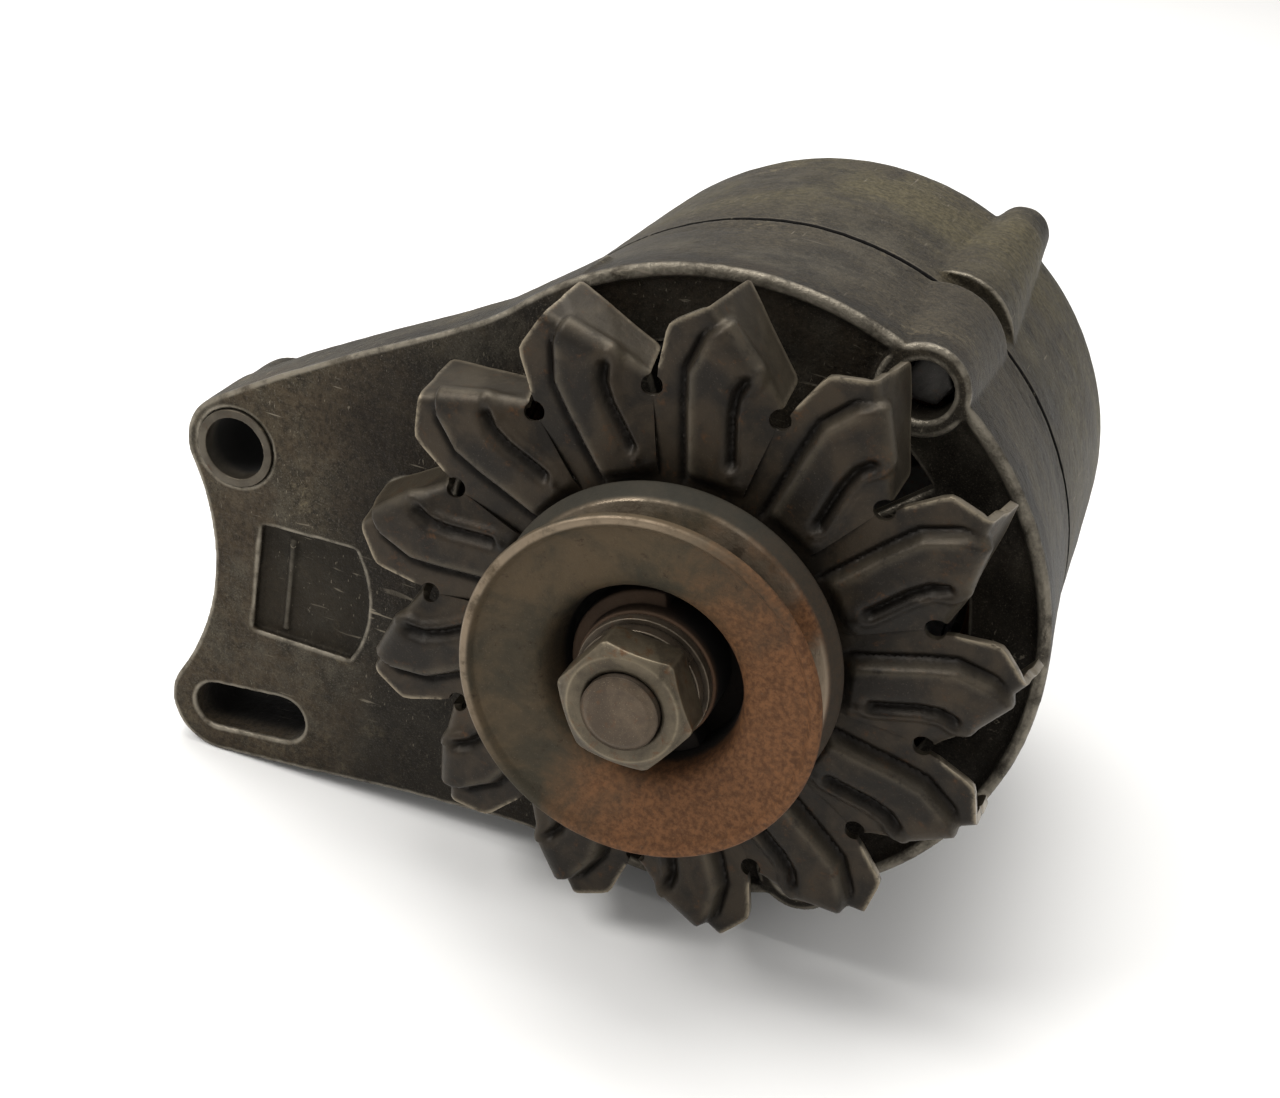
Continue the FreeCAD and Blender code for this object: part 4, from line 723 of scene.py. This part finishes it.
# shaft end: chamfered, with the last threads showing past the nut
thread = [(0.0, -15.2), (1.0, -15.2), (2.0, -15.2), (3.5, -15.2), (5.3, -15.25), (5.7, -15.2), (6.7, -14.2)]
yy = -14.4
while yy < -12.2:
    thread += [(6.95, yy), (6.95, yy + 0.25), (6.35, yy + 0.75), (6.35, yy + 1.0)]
    yy += 1.5
thread += [(6.9, -12.2), (6.9, 1.4), (7.4, 1.4), (7.4, 16.1), (8.45, 16.1), (8.45, 50.1), (9.95, 50.1), (9.95, 55.1), (9.45, 55.1), (9.45, 101.1),
           (8.45, 101.1), (8.45, 131.9), (7.45, 131.9), (7.45, 145.7), (6.7, 146.4), (0.0, 146.4)]
ob = lathe("shaft_turning", thread, 128, closed=False)
dress(ob, "shaft")
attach(ob, "rotor")
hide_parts("shaft")


# ---------------------------------------------------------------------------
# fan: one sheet, pressed with a rib and a groove on each petal, blades folded
# back along the line from the petal's corner to the next relief hole
# ---------------------------------------------------------------------------
N = 13
STEP = 360.0 / N
PHASE = 131.8
RH, HR = 48.42, 1.95
SHEET = 1.5
Y0 = 14.7
BEND_R, BEND_A = 2.2, math.radians(80.7)
BT = BEND_R * math.tan(BEND_A / 2)
BARC = BEND_R * BEND_A


def pq(da, r):
    a = math.radians(da)
    return np.array([r * math.sin(a), r * math.cos(a)])


A = pq(10.4, 63.7)
B = pq(27.2, 50.2)
U = (B - A) / np.linalg.norm(B - A)
NV = np.array([-U[1], U[0]])
if NV @ A < 0:
    NV = -NV


def flap(u, v):
    return A + U * u + NV * (v - (2 * BT - BARC if v > 1 else 0.0))


def run(points, step):
    out = []
    for a, b in zip(points[:-1], points[1:]):
        k = max(1, int(round(np.linalg.norm(b - a) / step)))
        for s in range(k):
            out.append(a + (b - a) * s / k)
    return out


def hole_arc(da, a0, a1, k):
    c = pq(da, RH)
    e_r = c / np.linalg.norm(c)
    e_t = np.array([e_r[1], -e_r[0]])
    return [c + HR * (e_t * math.cos(t) + e_r * math.sin(t)) for t in np.linspace(math.radians(a0), math.radians(a1), k)]


STEPMM = 0.62
radial = np.arange(8.0, RH - HR, STEPMM * 1.2)
left = [pq(0.0, r) for r in radial] + [pq(0.0, RH - HR)]
right = [pq(STEP, r) for r in radial] + [pq(STEP, RH - HR)]
lead = hole_arc(0.0, -90, 56, 14)
edge_pts = [lead[-1], pq(1.6, 52.0), pq(2.5, 55.0), pq(3.3, 58.2), pq(3.9, 59.6), pq(5.0, 60.4), A, flap(0.25, 5.0), flap(0.75, 13.2), flap(1.3, 13.85),
            flap(2.2, 13.75), flap(18.6, 9.75), flap(19.5, 9.2), flap(19.9, 8.2), flap(21.0, 2.2), B]
tail = hole_arc(STEP, 106, 270, 16)
border = left[:-1] + lead[:-1] + run(edge_pts, STEPMM) + tail + right[::-1][1:]
inner = [pq(a, 8.0) for a in np.linspace(STEP, 0.0, 9)][1:-1]
border = border + inner
border = np.array(border)


def inside(poly, pts):
    x, y = pts[:, 0], pts[:, 1]
    res = np.zeros(len(pts), bool)
    j = len(poly) - 1
    for i in range(len(poly)):
        xi, yi = poly[i]
        xj, yj = poly[j]
        c = ((yi > y) != (yj > y)) & (x < (xj - xi) * (y - yi) / (yj - yi + 1e-12) + xi)
        res ^= c
        j = i
    return res


gx, gy = [], []
row = 0
yv = 7.0
while yv < 78:
    xs = np.arange(-1.0, 34.0, STEPMM) + (STEPMM / 2 if row % 2 else 0)
    gx.append(xs)
    gy.append(np.full(len(xs), yv))
    yv += STEPMM * 0.866
    row += 1
grid = np.stack([np.concatenate(gx), np.concatenate(gy)], 1)
grid = grid[inside(border, grid)]
# keep grid points clear of the border
from mathutils import kdtree
kd = kdtree.KDTree(len(border))
for i, p in enumerate(border):
    kd.insert((p[0], p[1], 0), i)
kd.balance()
grid = np.array([p for p in grid if kd.find((p[0], p[1], 0))[2] > STEPMM * 0.55])
allp = [Vector((p[0], p[1])) for p in border] + [Vector((p[0], p[1])) for p in grid]
nb = len(border)
cdt = geometry.delaunay_2d_cdt(allp, [(i, (i + 1) % nb) for i in range(nb)], [list(range(nb))], 1, 1e-6)
flat = np.array([(v[0], v[1]) for v in cdt[0]])
tris = [tuple(f) for f in cdt[2]]


def smooth01(t):
    t = np.clip(t, 0, 1)
    return t * t * (3 - 2 * t)


def seg_dist(p, line):
    d = np.full(len(p), 1e9)
    for a, b in zip(line[:-1], line[1:]):
        ab = b - a
        if ab @ ab < 1e-9:
            continue
        t = np.clip(((p - a) @ ab) / (ab @ ab), 0, 1)
        d = np.minimum(d, np.linalg.norm(p - (a + t[:, None] * ab), axis=1))
    return d


rr = np.hypot(flat[:, 0], flat[:, 1])
da = np.degrees(np.arctan2(flat[:, 0], flat[:, 1]))
c1 = np.interp(rr, [28, 31, 38, 46, 52, 55, 58.6, 60.4, 63], [8.6, 8.3, 7.6, 7.0, 7.0, 8.5, 10.0, 11.5, 14.0])
c2 = np.interp(rr, [30, 37.9, 42, 46, 50, 52.5, 58], [23.5, 21.2, 19.6, 18.3, 18.0, 19.0, 20.5])
d1 = np.radians(da - c1) * rr
d2 = np.radians(da - c2) * rr
vv = (flat - A) @ NV
groove = [pq(21.2, 37.9), pq(19.6, 42), pq(18.3, 46), pq(18.0, 50), pq(19.0, 52.5)]
dg = seg_dist(flat, groove)
start = smooth01((rr - 31.0 - 0.02 * (d1 - 5) ** 2) / 3.2)
lift = 2.3 * smooth01(d1 / 1.7) * start * (1 - 0.55 * smooth01((d2 - 0.5) / 3.0)) * (1 - smooth01((d2 - 2.5) / 5.5))
lift *= 1 - smooth01((vv + 0.6) / 4.0) * 0.85
lift -= 0.75 * np.exp(-(((d1 + 0.3) / 0.5) ** 2)) * smooth01((rr - 29) / 3) * smooth01((61.5 - rr) / 4)
lift -= 2.0 * np.exp(-((dg / 1.05) ** 2))
lift += 0.45 * np.exp(-(((dg - 1.9) / 0.8) ** 2)) * (d2 > 0)
cut_edge = np.array(run(edge_pts[1:], STEPMM))
de = seg_dist(flat, cut_edge)
wear_v = np.exp(-((de / 0.42) ** 2)) * smooth01((rr - 49.5) / 3)
crest = np.exp(-(((d1 - 1.8) / 0.8) ** 2)) * start * smooth01((60.0 - rr) / 4)
wear_v = np.maximum(wear_v, 0.16 * crest)
wear_v = np.maximum(wear_v, 0.14 * np.exp(-((vv / 0.8) ** 2)) * (da > 8))
crease_v = np.maximum(np.exp(-(((d1 + 0.3) / 0.7) ** 2)) * smooth01((rr - 29) / 3) * smooth01((61.5 - rr) / 4), np.exp(-((dg / 1.1) ** 2)))
crease_v = crease_v * 0.9
wear_all, crease_all = [], []

verts, faces = [], []
for k in range(N):
    a0 = math.radians(PHASE - k * STEP)
    seed = Vector((k * 7.3, 1.7, 4.1))
    bend_k = BEND_A + math.radians(3.0 * noise.noise(seed))
    base = len(verts)
    for i in range(len(flat)):
        p = flat[i]
        v = vv[i]
        h = lift[i]
        wob = 0.16 * noise.noise(Vector((p[0] * 0.12, p[1] * 0.12, k * 3.1))) * (1.0 if rr[i] > 34 else 0.0) * min(1.0, max(0.0, da[i] / 3.0)) * min(1.0, max(0.0, (STEP - da[i]) / 3.0))
        h += wob
        if v <= -BT or rr[i] < 44:
            off, dep, fi = v, 0.0, 0.0
        else:
            s = v + BT
            if s < BEND_R * bend_k:
                fi = s / BEND_R
                off = -BT + BEND_R * math.sin(fi)
                dep = BEND_R * (1 - math.cos(fi))
            else:
                fi = bend_k
                s -= BEND_R * bend_k
                off = -BT + BEND_R * math.sin(fi) + s * math.cos(fi)
                dep = BEND_R * (1 - math.cos(fi)) + s * math.sin(fi)
        off += h * math.sin(fi)
        q = p + NV * (off - v)
        y = Y0 + dep - h * math.cos(fi)
        # q is (clockwise, outward) in the sector; turn it into x, z
        rq = math.hypot(q[0], q[1])
        aq = a0 - math.atan2(q[0], q[1])
        verts.append((rq * math.cos(aq), y, rq * math.sin(aq)))
        wear_all.append(float(wear_v[i]))
        crease_all.append(float(crease_v[i]))
    for f in tris:
        faces.append((base + f[0], base + f[1], base + f[2]))
fan = mesh_object("fan_pressing", verts, faces)
for aname, vals in (("wear", wear_all), ("crease", crease_all)):
    at = fan.data.attributes.new(aname, "FLOAT", "POINT")
    at.data.foreach_set("value", vals[:len(fan.data.vertices)])
bm = bmesh.new()
bm.from_mesh(fan.data)
bmesh.ops.remove_doubles(bm, verts=bm.verts, dist=2e-5)
bmesh.ops.recalc_face_normals(bm, faces=bm.faces)
ysum = sum(f.normal.y * f.calc_area() for f in bm.faces)
if ysum > 0:
    bmesh.ops.reverse_faces(bm, faces=bm.faces)
bm.to_mesh(fan.data)
bm.free()
m = fan.modifiers.new("sheet", "SOLIDIFY")
m.thickness = SHEET * MM
m.offset = -1.0
m.use_even_offset = False
m = fan.modifiers.new("edge", "BEVEL")
m.width = 0.22 * MM
m.segments = 2
m.limit_method = "ANGLE"
m.angle_limit = math.radians(55)
bake(fan)
fan.data.polygons.foreach_set("use_smooth", [True] * len(fan.data.polygons))
dress(fan, "fan")
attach(fan, "rotor")
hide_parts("fan")

# ---------------------------------------------------------------------------
# floor, light, camera
# ---------------------------------------------------------------------------
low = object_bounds()
zmin = min(low[0][2], low[1][2])
bpy.ops.mesh.primitive_plane_add(size=8.0, location=(0, 0.5, zmin - 0.0002))
floor = bpy.context.object
floor.name = "studio_floor"
km = Mat("studio_floor_paint")
f1 = km.noise(6.0, 5.0, 0.5)
km.bump([(km.noise(900.0, 3.0), 0.05, 0.15)])
floor.data.materials.append(km.done(km.mix(f1, (0.86, 0.86, 0.855), (0.90, 0.90, 0.895)), 0.0, 0.7))

scene = bpy.context.scene
world = bpy.data.worlds.new("studio")
scene.world = world
world.use_nodes = True
world.node_tree.nodes["Background"].inputs[0].default_value = (1.0, 0.99, 0.975, 1.0)
world.node_tree.nodes["Background"].inputs[1].default_value = 0.55


def area(name, loc, target, size, power, color=(1, 1, 1)):
    ld = bpy.data.lights.new(name, "AREA")
    ld.shape = "SQUARE"
    ld.size = size
    ld.energy = power
    ld.color = color
    ob = bpy.data.objects.new(name, ld)
    scene.collection.objects.link(ob)
    ob.location = loc
    ob.rotation_euler = (Vector(target) - Vector(loc)).to_track_quat("-Z", "Y").to_euler()
    return ob


area("key_soft", (-0.25, 0.35, 1.5), (0.0, 0.05, 0.0), 1.2, 24.0, (1.0, 0.985, 0.96))
area("side_soft", (-0.75, -0.55, 0.95), (0.0, 0.03, 0.0), 0.55, 11.0, (1.0, 0.985, 0.96))
area("fill_soft", (0.9, -0.9, 1.1), (0.0, 0.05, 0.0), 1.0, 3.0, (1.0, 0.99, 0.98))

cam = bpy.data.cameras.new("photo_camera")
cob = bpy.data.objects.new("photo_camera", cam)
scene.collection.objects.link(cob)
cam.sensor_fit = "HORIZONTAL"
cam.sensor_width = 36.0
cam.lens = 54.835
cam.shift_x = -0.00271
cam.shift_y = 0.01442
cam.clip_start = 0.01
cam.clip_end = 30.0
cob.location = (0.07172, -0.28291, 0.17657)
right = Vector((0.93161, 0.33141, 0.14932))
up = Vector((-0.28318, 0.40414, 0.86976))
back = -Vector((-0.22790, 0.85255, -0.47035))
from mathutils import Matrix
cob.rotation_mode = "QUATERNION"
cob.rotation_quaternion = Matrix((right, up, back)).transposed().to_quaternion()
scene.camera = cob
scene.view_settings.view_transform = "Standard"
scene.view_settings.look = "None"
scene.view_settings.exposure = 0.0
